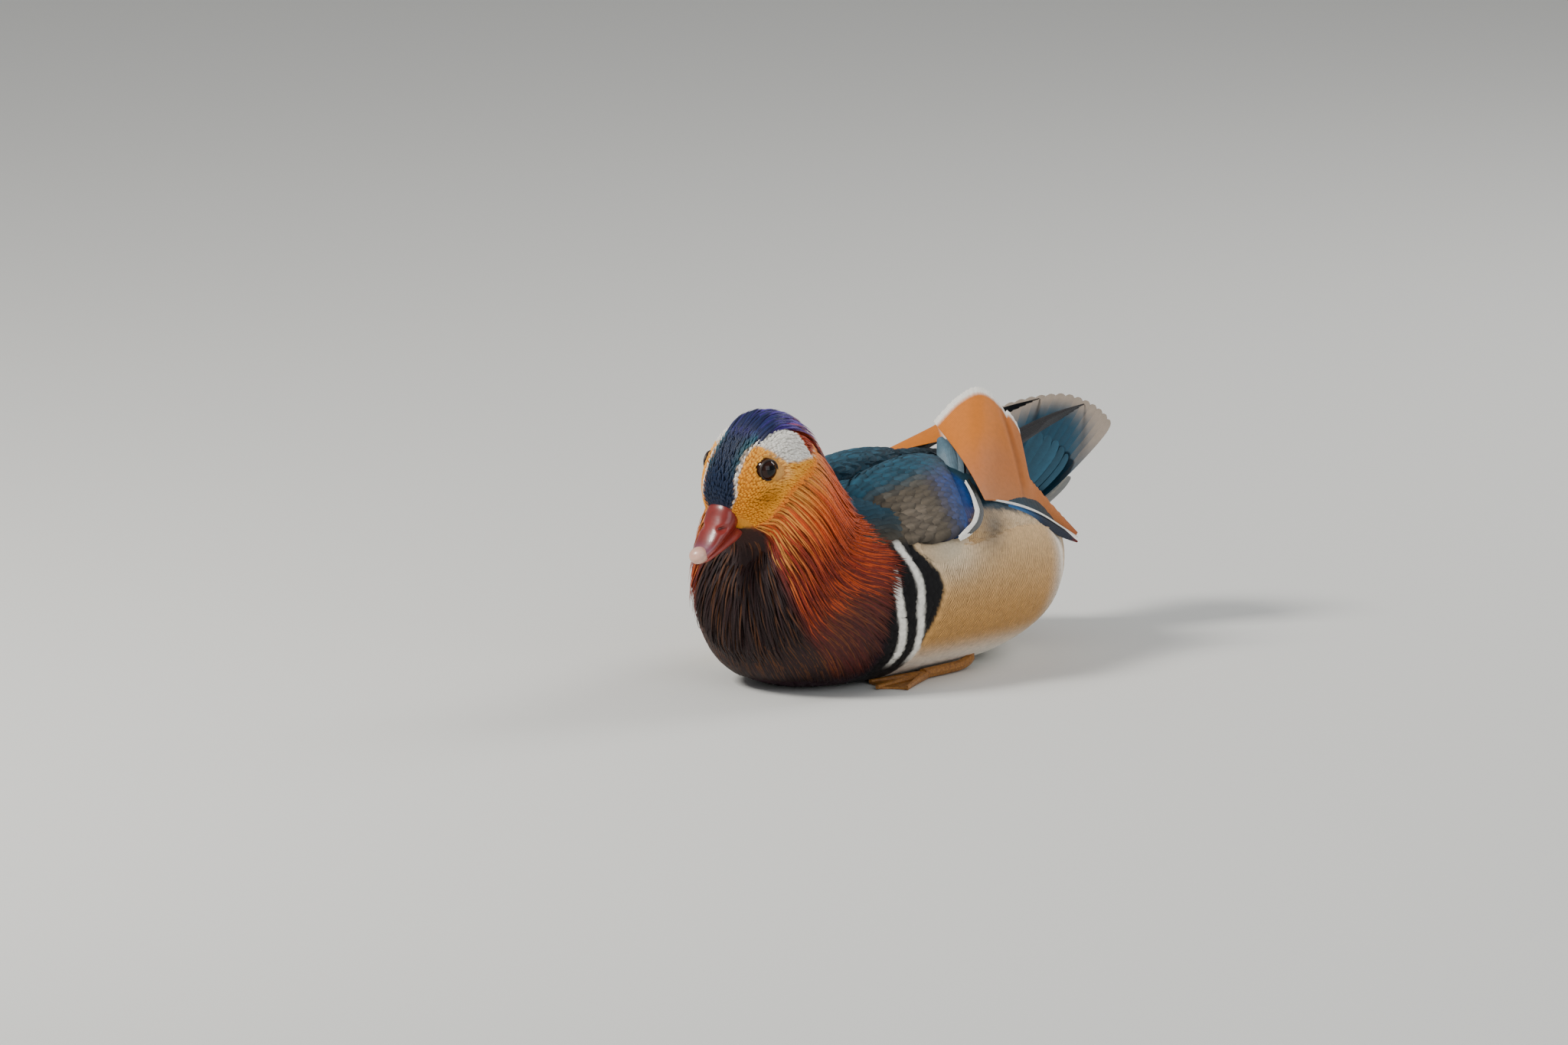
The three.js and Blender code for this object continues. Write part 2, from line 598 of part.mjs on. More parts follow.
const clearOfNeck = joined([headNeck.solid(NECK_SIDES, NECK_STEPS, GAP + 2.5), trunkGrown]);
const shoulderLeft = shoulderNode(clearOfNeck);
const clearOfShoulder = joined([trunkGrown, shoulder.solid(16, 8, GAP + 3)]);
const sailOf = (lines) => largest(sailSolid(lines).subtract(clearOfShoulder));
const wingOf = (lines) => wingNode(joined([clearOfShoulder, sailSolid(lines, GAP)]));
const primariesGrown = joined(primaries(GAP));
const tail = tailNode(joined([trunkGrown, primariesGrown, mirrored(primariesGrown)]));

const looks = {
  orange: { color: 0xc8641e, roughness: 0.7 },
  white: { color: 0xf2efe6, roughness: 0.8 },
  maroon: { color: 0x2c1420, roughness: 0.6 },
  buff: { color: 0xc39a63, roughness: 0.8 },
  blue: { color: 0x2f5a70, roughness: 0.5 },
  brown: { color: 0x7b6f66, roughness: 0.7 },
  sail: { color: 0xcc8648, roughness: 0.7 },
  bill: { color: 0xa8443c, roughness: 0.35 },
  eye: { color: 0x1c110c, roughness: 0.1 },
  skin: { color: 0xb98a4a, roughness: 0.6 },
  crown: { color: 0x15384e, roughness: 0.45 },
};

const parts = [
  ["head", headNode(skull), "white"],
  ["eye_left", eyeBall(1, EYE.radius), "eye"],
  ["eye_right", eyeBall(-1, EYE.radius), "eye"],
  ["bill_upper", upper, "bill"],
  ["bill_lower", lower, "bill"],
  ["crest", crest, "crown"],
  ["neck", neckNode, "orange"],
  ["breast", largest(trunkWhole.intersect(breastSide(GAP))), "maroon"],
  ["torso", largest(trunkWhole.subtract(breastSide(-GAP))), "buff"],
  ["tail", tail, "blue"],
];
for (const [side, turn, lines] of [["left", (s) => s, SAIL_LEFT], ["right", mirrored, SAIL_RIGHT]])
  parts.push(
    [`shoulder_${side}`, turn(shoulderLeft), "brown"],
    [`wing_${side}`, turn(wingOf(lines)), "brown"],
    [`sail_${side}`, turn(sailOf(lines)), "sail"],
    [`foot_${side}`, turn(foot), "skin"],
  );

const duck = new THREE.Group();
for (const [name, solid, look] of parts) {
  const material = new THREE.MeshStandardMaterial({ ...looks[look], metalness: 0 });
  const mesh = new THREE.Mesh(geometryOf(solid), material);
  mesh.name = name;
  duck.add(mesh);
}

export default duck;
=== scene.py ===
"""A drake mandarin duck at life size: skin, feathers, bill, eyes, sails, tail and feet."""
import math
from collections import namedtuple

import bmesh
import bpy
import numpy as np
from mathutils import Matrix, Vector
from mathutils.kdtree import KDTree


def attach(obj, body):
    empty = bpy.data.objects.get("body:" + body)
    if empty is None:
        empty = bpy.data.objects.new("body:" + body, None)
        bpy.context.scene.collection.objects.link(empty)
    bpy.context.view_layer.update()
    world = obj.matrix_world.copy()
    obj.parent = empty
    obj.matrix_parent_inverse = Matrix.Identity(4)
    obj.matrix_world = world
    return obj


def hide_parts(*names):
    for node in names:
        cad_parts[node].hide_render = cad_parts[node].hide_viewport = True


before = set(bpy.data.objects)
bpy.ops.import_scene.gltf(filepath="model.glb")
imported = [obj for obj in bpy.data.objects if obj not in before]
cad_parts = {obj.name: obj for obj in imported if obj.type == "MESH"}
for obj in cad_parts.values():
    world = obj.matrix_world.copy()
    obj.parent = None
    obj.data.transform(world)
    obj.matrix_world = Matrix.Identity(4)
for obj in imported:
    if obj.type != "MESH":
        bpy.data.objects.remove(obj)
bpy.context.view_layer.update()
MM = 0.001  # lengths are in millimetres until build() makes a mesh of them
rng = np.random.default_rng(11)
SIDES = (("left", 1), ("right", -1))


def lin(hexa):
    """An sRGB colour made linear."""
    c = np.array([int(hexa[i:i + 2], 16) / 255 for i in (0, 2, 4)])
    return np.where(c <= 0.04045, c / 12.92, ((c + 0.055) / 1.055) ** 2.4)


def mix(a, b, k):
    k = np.asarray(k, float)[..., None]
    return a * (1 - k) + b * k


def step(x, lo, hi):
    """0 up to lo and 1 from hi on, and smooth between them."""
    u = np.clip((x - lo) / (hi - lo), 0, 1)
    return u * u * (3 - 2 * u)


def fall(x, lo, hi):
    return 1 - step(x, lo, hi)


def unit(v, least=0.0):
    return v / (np.linalg.norm(v, axis=-1, keepdims=True) + least)


def same(v, n):
    return np.broadcast_to(v, (n, 3))


WHITE, CREAM, BLACK, MAROON = map(lin, ("f3efe6", "ecdcc0", "0b0a0d", "2c0f1c"))
ORANGE, RUST, GOLD, AMBER, OCHRE = map(lin, ("ea5c08", "861c03", "ffb84c", "fba526", "a8620c"))
NAVY, TEAL, VIOLET, COPPER = map(lin, ("061d3c", "07525e", "42288a", "a8340a"))
BUFF, TAN, BARRED, DUN = map(lin, ("dcb480", "c48c40", "4a3018", "8b7c6c"))
OLIVE, FAWN, SLATE, BLUE = map(lin, ("4c4438", "6e6458", "1c4658", "053c80"))
TAUPE, SMOKE, INK, SOOT = map(lin, ("9a8c7e", "6b675f", "0a1512", "26282a"))

# The forms. t runs along each from 0 to 1, and the angle goes round it from 0 on top.
NAIL = (0, -132, 79.3)  # the bill's tip
PITCH, TURN, PIVOT = math.radians(30), math.radians(-5), (0, -55)
PITCH_COS, PITCH_SIN = math.cos(PITCH), math.sin(PITCH)
TWIST = (30, 95)  # the heights between which the head's turn sets in
AHEAD, NUDGE, LOOK = 0.02, 0.004, 0.006  # steps in t for a form's run, its surface and a feather's way
TINY = 1e-12


def spline(rows, t):
    """The smooth curve through rows of any shape, at t from 0 to 1."""
    n = len(rows) - 1
    x = np.clip(t, 0, 1) * n
    i = np.minimum(np.floor(x).astype(int), n - 1)
    u = (x - i).reshape(x.shape + (1,) * (rows.ndim - 1))
    a, b, c, d = (rows[np.clip(i + k, 0, n)] for k in (-1, 0, 1, 2))
    return b + 0.5 * u * (c - a + u * (2 * a - 5 * b + 4 * c - d + u * (3 * (b - c) + d - a)))


def oval(ang, fullness):
    """How far up and how far out a ring runs, as shares of its half height and its half width."""
    k = 2 / fullness
    c, s = np.cos(ang), np.sin(ang)
    return np.sign(c) * np.abs(c) ** k, np.sign(s) * np.abs(s) ** k


def turned(p, share):
    """Points turned about the neck by a share of the head's turn."""
    c, s = np.cos(TURN * share), np.sin(TURN * share)
    x, y = p[..., 0] - PIVOT[0], p[..., 1] - PIVOT[1]
    return np.stack([x * c - y * s + PIVOT[0], x * s + y * c + PIVOT[1], p[..., 2]], -1)


def head_bend(p):
    return turned(p, step(p[..., 2], *TWIST))


def on_head(back, up, side):
    """A point of the head: back along the bill's axis, up from it, and to the left."""
    back, up, side = np.broadcast_arrays(*(np.asarray(v, float) for v in (back, up, side)))
    y = NAIL[1] + back * PITCH_COS - up * PITCH_SIN
    return turned(np.stack([side, y, NAIL[2] + back * PITCH_SIN + up * PITCH_COS], -1), 1)


def head_coords(p):
    """How far back and how far up a point lies on the head, as on_head takes them."""
    q = turned(p, -step(p[..., 2], *TWIST))
    f, z = q[..., 1] - NAIL[1], q[..., 2] - NAIL[2]
    return f * PITCH_COS + z * PITCH_SIN, -f * PITCH_SIN + z * PITCH_COS


class Form:
    """A body given by rings, each with a point of its upper line, one of its lower line and a half width."""

    def __init__(self, rings, fullness, bend=lambda p: p):
        self.rows = np.array([[*p, *q, w] for p, q, w in rings], float)
        self.fullness, self.bend, self.facing = fullness, bend, 1.0
        # The surface's cross product points in or out all over, so one place at a side settles which.
        t, ang = np.array([0.5]), np.array([np.pi / 2])
        row = spline(self.rows, t)
        out = self.at(t, ang) - self.bend((row[:, :3] + row[:, 3:6]) / 2)
        self.facing = float(np.sign(np.sum(self.normal(t, ang) * out)))

    def at(self, t, ang, grow=0.0):
        t, ang = np.broadcast_arrays(np.asarray(t, float), np.asarray(ang, float))
        row, late, soon = (spline(self.rows, t + e) for e in (0, AHEAD, -AHEAD))
        top, low, w = row[..., :3], row[..., 3:6], row[..., 6]
        go = late[..., :3] + late[..., 3:6] - soon[..., :3] - soon[..., 3:6]
        up = top - low
        half = np.linalg.norm(up, axis=-1) / 2
        up = up / (2 * half)[..., None]
        rise, out = oval(ang, self.fullness)
        rise, out = rise * (half + grow), out * (w + grow)
        return self.bend((top + low) / 2 + up * rise[..., None] + unit(np.cross(go, up)) * out[..., None])

    def normal(self, t, ang):
        a = self.at(np.minimum(1, t + NUDGE), ang) - self.at(np.maximum(0, t - NUDGE), ang)
        b = self.at(t, ang + NUDGE * 6) - self.at(t, ang - NUDGE * 6)
        return unit(np.cross(a, b), TINY) * self.facing


HEAD_RINGS = [
    (14.0, 103.0, 25.0, 90.0, 8.5), (12.0, 110.5, 27.0, 86.0, 12.0), (13.5, 119.5, 31.0, 83.0, 16.5),
    (18.5, 129.5, 33.0, 80.0, 20.5), (26.0, 139.0, 34.0, 76.0, 23.0), (36.0, 147.0, 33.0, 72.0, 25.0),
    (47.5, 151.5, 30.0, 67.0, 28.0), (60.0, 150.5, 27.0, 60.0, 32.0), (70.0, 145.5, 25.5, 53.0, 36.5),
    (78.0, 138.0, 24.5, 46.0, 41.0), (84.0, 128.0, 24.0, 38.0, 45.0), (91.0, 116.0, 25.0, 30.0, 48.5),
    (104.0, 105.0, 28.0, 22.0, 50.0), (122.0, 98.0, 36.0, 16.0, 46.0)]
head_neck = Form([((0, NAIL[1] + f1, z1), (0, NAIL[1] + f2, z2), w) for f1, z1, f2, z2, w in HEAD_RINGS],
                 2.2, head_bend)
TRUNK_RINGS = [
    (-104, 52, 44, 3), (-101, 68, 27, 20), (-92, 82, 12, 36), (-76, 93, 3, 50), (-54, 99, -1, 60),
    (-28, 101, -2, 67), (0, 102, -2, 71), (30, 101, -2, 73), (60, 97, -1, 72), (88, 89, 5, 66),
    (110, 80, 13, 54), (132, 72, 23, 39), (150, 65, 35, 23), (158, 57, 45, 6)]
trunk = Form([((0, y, a), (0, y, b), w) for y, a, b, w in TRUNK_RINGS], 2.25)
shoulder = Form([
    ((14, -38, 97), (48, -44, 76), 3), ((9, -18, 105), (60, -34, 68), 10), ((7, 8, 108), (67, -20, 64), 15),
    ((8, 30, 109), (69, -4, 67), 15.5), ((11, 46, 108), (66, 6, 72), 11.5),
    ((15, 56, 105), (61, 14, 79), 5)], 2.1)
wing = Form([
    ((14, 4, 98), (62, -6, 70), 4), ((13, 34, 104), (66, 18, 72), 9), ((13, 64, 105), (63, 50, 72), 10),
    ((13, 94, 101), (56, 86, 67), 9), ((12, 120, 94), (47, 116, 62), 4)], 2.2)


# Meshes.
def grid(rows, cols, wrap=True, ring=False):
    """Quads over a grid of points, closed from the last column to the first, and from the last row if a ring."""
    i, j = np.meshgrid(np.arange(rows - (not ring)), np.arange(cols - (not wrap)), indexing="ij")
    n, k = (i + 1) % rows, (j + 1) % cols
    return np.stack([i * cols + j, i * cols + k, n * cols + k, n * cols + j], -1).reshape(-1, 4)


def tube(p):
    """Rings of points (steps, sides, 3) as vertices, quads and triangles, closed by a point at each end."""
    steps, sides = p.shape[:2]
    m, j = steps * sides, np.arange(sides)
    k = (j + 1) % sides
    first = np.stack([np.full(sides, m), k, j], 1)
    last = np.stack([np.full(sides, m + 1), m - sides + j, m - sides + k], 1)
    verts = np.concatenate([p.reshape(-1, 3), [p[0].mean(0), p[-1].mean(0)]])
    return verts, grid(steps, sides), np.concatenate([first, last])


def capped(col):
    """The colours of a tube's rings, and of its two end points after them."""
    col = col.reshape(-1, 3)
    return np.concatenate([col, col[:1], col[-1:]])


def rgba(col, bars=0.0):
    """Colours with a fourth channel, which says how strongly fine bars show."""
    col = np.clip(col, 0, 1)
    return np.concatenate([col, np.broadcast_to(bars, col.shape[:-1])[..., None]], -1)


def build(name, verts, quads, tris=None, colours=None, uv=None, bake=None):
    """A mesh object from arrays in millimetres, with its colours and its maps."""
    mesh = bpy.data.meshes.new(name)
    faces = [quads] if tris is None else [quads, tris]
    loop = np.concatenate([f.reshape(-1) for f in faces]).astype(np.int32)
    size = np.concatenate([np.full(len(f), f.shape[1]) for f in faces]).astype(np.int32)
    mesh.vertices.add(len(verts))
    mesh.vertices.foreach_set("co", (verts * MM).astype(np.float32).reshape(-1))
    mesh.loops.add(len(loop))
    mesh.loops.foreach_set("vertex_index", loop)
    mesh.polygons.add(len(size))
    mesh.polygons.foreach_set("loop_start", np.concatenate([[0], np.cumsum(size)[:-1]]).astype(np.int32))
    mesh.polygons.foreach_set("loop_total", size)
    mesh.update(calc_edges=True)
    mesh.validate()
    if colours is not None:
        dye(mesh, colours)
    for label, values in (("Vane", uv), ("OFBake", bake)):
        if values is not None:
            layer = mesh.uv_layers.new(name=label)
            layer.data.foreach_set("uv", values[loop].astype(np.float32).reshape(-1))
    mesh.polygons.foreach_set("use_smooth", np.ones(len(size), bool))
    ob = bpy.data.objects.new(name, mesh)
    bpy.context.scene.collection.objects.link(ob)
    return ob


def dye(mesh, colours):
    layer = mesh.color_attributes.new("Col", "FLOAT_COLOR", "POINT")
    layer.data.foreach_set("color", colours.astype(np.float32).reshape(-1))


def outward(ob):
    """Turns a closed mesh's faces outwards."""
    bm = bmesh.new()
    bm.from_mesh(ob.data)
    bmesh.ops.recalc_face_normals(bm, faces=bm.faces)
    bm.to_mesh(ob.data)
    bm.free()
    return ob


# The record's slot for each piece, by the first part of the piece's name.
SLOTS = {first: slot for slot, names in {
    "head": "face crown lid", "crest": "crest", "neck": "ruff mantle", "torso": "skin body",
    "shoulder": "shoulder crescent", "wing": "tertials wing primaries", "tail": "tail undertail",
    "sail": "sail", "eye": "eyeball"}.items() for first in names.split()}
PAIRED = ("shoulder", "wing", "sail", "eye")


def fit_out(ob, finish, nodes=(), slot=None):
    """Gives a piece its material, its body and the nodes it replaces, and works out its slot without keeping it."""
    ob.data.materials.append(finish)
    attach(ob, "root")
    if nodes:
        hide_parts(*nodes)
    slot = slot or SLOTS[ob.name.split("_")[0]]
    if slot in PAIRED:
        slot += "_" + ob.name.split("_")[-1]


def crisp(ob, stations):
    """Keeps the shading of a vane's upper side apart from its underside's, along both edges and at the ends."""
    mesh = ob.data
    ends = np.empty(len(mesh.edges) * 2, np.int32)
    mesh.edges.foreach_get("vertices", ends)
    ends = ends.reshape(-1, 2)
    column, place = ends % 3, ends // 3 % stations
    along = (column[:, 0] == column[:, 1]) & (column[:, 0] != 1)
    at_end = (place[:, 0] == place[:, 1]) & ((place[:, 0] == 0) | (place[:, 0] == stations - 1))
    mesh.attributes.new("sharp_edge", "BOOLEAN", "EDGE").data.foreach_set("value", along | at_end)
    return ob


PATCH = 0.003  # the size of each feather's patch on the OFBake map


def feathers(name, pos, side, up, width, thick, colours, bake, cup):
    """Feathers as closed three-sided vanes. pos, side, up: (n, s, 3); width, thick: (n, s); colours: (n, s, 3, 4)
    for the left edge, the ridge and the right edge; bake: each root's place on the unwrap."""
    n, s = width.shape
    out, sag = side * width[..., None], up * (cup * width)[..., None]
    verts = np.stack([pos - out - sag, pos + up * thick[..., None], pos + out - sag], 2)
    base = (np.arange(n) * s * 3)[:, None, None]
    k = np.arange(s - 1)[None, :, None] * 3
    quad = np.concatenate([base + k + np.array(q) for q in ([0, 1, 4, 3], [1, 2, 5, 4], [2, 0, 3, 5])], 1)
    ends = np.stack([base[:, 0] + np.array([0, 2, 1]), base[:, 0] + (s - 1) * 3 + np.array([0, 1, 2])])
    # The faces are turned out where side, the feather's run and up are left-handed.
    turn = np.sum(np.cross(side[:, 0], pos[:, 1] - pos[:, 0]) * up[:, 0], -1) <= 0
    quad[turn] = quad[turn][..., ::-1]
    ends[:, turn] = ends[:, turn][..., ::-1]
    u = np.broadcast_to(np.array([0, 0.5, 1.0]), (n, s, 3))
    v = np.broadcast_to(np.linspace(0, 1, s)[:, None], (n, s, 3))
    uv = np.stack([u, v], -1)
    patch = np.clip(bake[:, None, None, :] + PATCH * (uv - 0.5), 0, 1)
    ob = build(name, verts.reshape(-1, 3), quad.reshape(-1, 4), ends.reshape(-1, 3), colours.reshape(-1, 4),
               uv.reshape(-1, 2), patch.reshape(-1, 2))
    return crisp(ob, s)


JITTER = 0.25  # how far a root strays, in spacings


def scatter(form, t_from, t_to, a_from, a_to, spacing, row):
    """Roots on a form at an even spacing in millimetres, row after staggered row, from the face back."""
    out = []
    t, k = t_from, 0
    mids, angles = np.linspace(a_from, a_to, 9), np.linspace(a_from, a_to, 241)
    while t < t_to:
        apart = form.at(min(1, t + NUDGE), mids) - form.at(t, mids)
        speed = np.linalg.norm(apart, axis=-1).mean() / NUDGE
        sides = np.linalg.norm(np.diff(form.at(t, angles), axis=0), axis=-1)
        run = np.concatenate([[0], np.cumsum(sides)])
        count = max(2, int(run[-1] / spacing))
        places = (np.arange(count) + (0.25 if k % 2 else 0.75)) / count * run[-1]
        places = np.clip(places + rng.uniform(-JITTER, JITTER, count) * spacing, 0, run[-1])
        on = np.full(count, t) + rng.uniform(-JITTER, JITTER, count) * row / speed
        out.append(np.stack([on, np.interp(places, run, angles)], 1))
        t += row / max(speed, 1e-3)
        k += 1
    return np.concatenate(out)


def clear_of_trunk(p, lift):
    """Moves points that would lie in the trunk out to its surface and a little over it."""
    row = spline(trunk.rows, np.linspace(0, 1, 200))
    y = row[:, 1]
    shape = ((row[:, 2] + row[:, 5]) / 2, (row[:, 2] - row[:, 5]) / 2, row[:, 6])
    mid, half, wide = (np.interp(p[..., 1], y, v) for v in shape)
    n = trunk.fullness
    r = ((np.abs(p[..., 0]) / wide) ** n + (np.abs(p[..., 2] - mid) / half) ** n) ** (1 / n)
    inside = (p[..., 1] > y[0]) & (p[..., 1] < y[-1])
    k = np.where(inside, np.maximum(1, (1 + lift / np.minimum(wide, half)) / np.maximum(r, 0.2)), 1)
    return np.stack([p[..., 0] * k, p[..., 1], mid + (p[..., 2] - mid) * k], -1)


SLOWEST, NARROWEST = 30.0, 3  # the least millimetres that a form is taken to run for a whole t, and for a radian
OVER_FLOOR = 0.9
# A vane's half width along it, as shares of its widest.
TAPER = ([0, 0.25, 0.6, 0.85, 1], [0.4, 0.85, 1, 0.75, 0.12])
PLUME = ([0, 0.2, 0.6, 0.85, 1], [0.5, 1, 0.9, 0.5, 0.05])
STRAND = ([0, 0.2, 0.55, 0.85, 1], [0.6, 1, 0.85, 0.4, 0.04])
ROUND = ([0, 0.25, 0.55, 0.8, 0.93, 1], [0.5, 0.85, 1, 0.85, 0.5, 0.1])
BLUNT = ([0, 0.25, 0.55, 0.8, 0.93, 1], [0.5, 0.85, 1, 0.92, 0.6, 0.15])
Laid = namedtuple("Laid", "pos side up width t ang")


def lay(form, roots, length, width, lift, sunk, stations=5, profile=TAPER, spread=0.0, depth=0.0,
        over_trunk=False):
    """Lays feathers along a form, with a spread in radians about its own run, station by station."""
    n = len(roots)
    length, width, lift = (np.broadcast_to(np.asarray(v, float), (n,)) for v in (length, width, lift))
    swing = rng.normal(0, 1, n) * spread
    s = np.linspace(0, 1, stations)[None, :]
    pace = length / stations
    t, a, over = [roots[:, 0]], [roots[:, 1]], [np.zeros(n)]
    for _ in range(1, stations):
        late, soon = np.minimum(1, t[-1] + LOOK), np.maximum(0, t[-1] - LOOK)
        away = (form.at(late, a[-1]) - form.at(soon, a[-1])) / (late - soon)[:, None]
        about = (form.at(t[-1], a[-1] + LOOK) - form.at(t[-1], a[-1] - LOOK)) / (2 * LOOK)
        fast, wide = (np.linalg.norm(v, axis=-1) for v in (away, about))
        ahead = t[-1] + np.cos(swing) * pace / np.maximum(fast, SLOWEST)
        over.append(over[-1] + np.maximum(ahead - 1, 0) * fast)
        t.append(np.clip(ahead, 0.002, 0.999))
        a.append(a[-1] + np.sin(swing) * pace / np.maximum(wide, NARROWEST))
    t, a, over = (np.stack(v, 1) for v in (t, a, over))
    normal = form.normal(t, a)
    base = form.at(t, a) - normal * depth
    out = np.minimum(1, s * 1.5)  # the feather is clear of the coat from two thirds of its length
    rise = -sunk + (lift[:, None] + sunk) * out ** 0.8
    pos = base + normal * rise[..., None] + (away / fast[:, None])[:, None] * over[..., None]
    if over_trunk:
        pos = clear_of_trunk(pos, 0.5 + 0.4 * lift[:, None] * out)
    pos[..., 2] = np.maximum(pos[..., 2], OVER_FLOOR)
    go = np.gradient(pos, axis=1)
    side = unit(np.cross(go, normal), TINY)
    up = unit(np.cross(side, go), TINY)
    return Laid(pos, side, up, width[:, None] * np.interp(s[0], *profile)[None, :], t, a)


# Materials. The inputs of a node are given by name, or as i and a number.
def material(name):
    m = bpy.data.materials.new(name)
    m.use_nodes = True
    m.node_tree.nodes.clear()
    return m


def node(m, kind, output=0, **values):
    """Adds a node, sets its properties and inputs, and gives back one of its outputs."""
    made = m.node_tree.nodes.new(kind)
    for key, value in values.items():
        if hasattr(made, key) and key not in made.inputs:
            setattr(made, key, value)
            continue
        target = made.inputs[int(key[1:]) if key[1:].isdigit() else key.replace("_", " ")]
        if isinstance(value, bpy.types.NodeSocket):
            m.node_tree.links.new(value, target)
        else:
            target.default_value = value
    return made.outputs[output]


def maths(m, operation, *terms):
    return node(m, "ShaderNodeMath", operation=operation, **{f"i{k}": v for k, v in enumerate(terms)})


def surface(m, **look):
    end = m.node_tree.nodes.new("ShaderNodeOutputMaterial")
    m.node_tree.links.new(node(m, "ShaderNodeBsdfPrincipled", **look), end.inputs[0])
    return m


def object_place(m):
    return node(m, "ShaderNodeTexCoord", "Object")


def grain(m, scale, detail):
    return node(m, "ShaderNodeTexNoise", "Fac", Vector=object_place(m), Scale=scale, Detail=detail)


def own_colour(m):
    return node(m, "ShaderNodeAttribute", "Color", attribute_name="Col", attribute_type="GEOMETRY")


def times(m, colour, shade):
    return node(m, "ShaderNodeVectorMath", operation="SCALE", i0=colour, Scale=shade)


BAR_SPACING = 0.0014


def plumage(name, rough=0.66, barbs=34.0, depth=0.3, sheen=0.04, gloss=0.2, vary=0.18):
    """Feathers: the vane's colour, streaked and ridged along its barbs, which slant out from the shaft."""
    m = material(name)
    across = node(m, "ShaderNodeSeparateXYZ", Vector=node(m, "ShaderNodeUVMap", uv_map="Vane"))
    out = maths(m, "ABSOLUTE", maths(m, "SUBTRACT", across, 0.5))
    slant = maths(m, "MULTIPLY_ADD", out, -0.9, across.node.outputs[1])
    wave = node(m, "ShaderNodeTexWave", "Fac", Vector=node(m, "ShaderNodeCombineXYZ", X=slant),
                Scale=barbs / 6.28, Distortion=1.2, Detail=2.0, Detail_Scale=2.0)
    both = maths(m, "MULTIPLY_ADD", wave, 0.6, grain(m, 420.0, 3.0))
    shade = node(m, "ShaderNodeMapRange", Value=both, From_Min=0.35, From_Max=1.15,
                 To_Min=1.0 - vary, To_Max=1.0 + vary)
    tint = own_colour(m)
    # Where the colour's fourth channel is up, fine dark bars run down the flank, wavy and broken.
    x, y, z = node(m, "ShaderNodeSeparateXYZ", Vector=object_place(m)).node.outputs
    band = node(m, "ShaderNodeCombineXYZ", X=maths(m, "MULTIPLY_ADD", z, -0.55, y), Y=z, Z=x)
    bars = node(m, "ShaderNodeTexWave", "Fac", Vector=band, Scale=0.314 / BAR_SPACING, Distortion=5.5,
                Detail=2.0, Detail_Scale=0.9)
    ink = node(m, "ShaderNodeMapRange", Value=bars, From_Min=0.5, From_Max=0.85, To_Min=0.0, To_Max=0.72)
    ink = maths(m, "MULTIPLY", ink, tint.node.outputs["Alpha"])
    tone = node(m, "ShaderNodeMix", 2, data_type="RGBA", Factor=ink, i6=times(m, tint, shade),
                i7=(*BARRED, 1.0))
    bump = node(m, "ShaderNodeBump", Strength=depth, Distance=0.0003, Height=both)
    return surface(m, Base_Color=tone, Roughness=rough, Normal=bump, Sheen_Weight=sheen, Sheen_Roughness=0.4,
                   Specular_IOR_Level=gloss)


def grained(name, scale, detail, strength, distance, shades=None, **look):
    """A bare skin raised by a fine grain, which also shades the piece's own colours between two shades."""
    m = material(name)
    fine = grain(m, scale, detail)
    if shades:
        shade = node(m, "ShaderNodeMapRange", Value=fine, To_Min=shades[0], To_Max=shades[1])
        look["Base_Color"] = times(m, own_colour(m), shade)
    bump = node(m, "ShaderNodeBump", Strength=strength, Distance=distance, Height=fine)
    return surface(m, Normal=bump, **look)


SOFT = plumage("feather_soft")
GLOSSY = plumage("feather_glossy", rough=0.42, gloss=0.4, sheen=0.0, vary=0.3)
HACKLE = plumage("feather_hackle", rough=0.5, barbs=60, vary=0.3, gloss=0.35, sheen=0.0)
QUILL = plumage("feather_quill", rough=0.55, barbs=120, depth=0.4, vary=0.12, gloss=0.25, sheen=0.0)


# Markings.
def left_of(ang):
    """The angle round a form folded to one side, 0 at the top and pi below."""
    return np.abs((ang + np.pi) % (2 * np.pi) - np.pi)


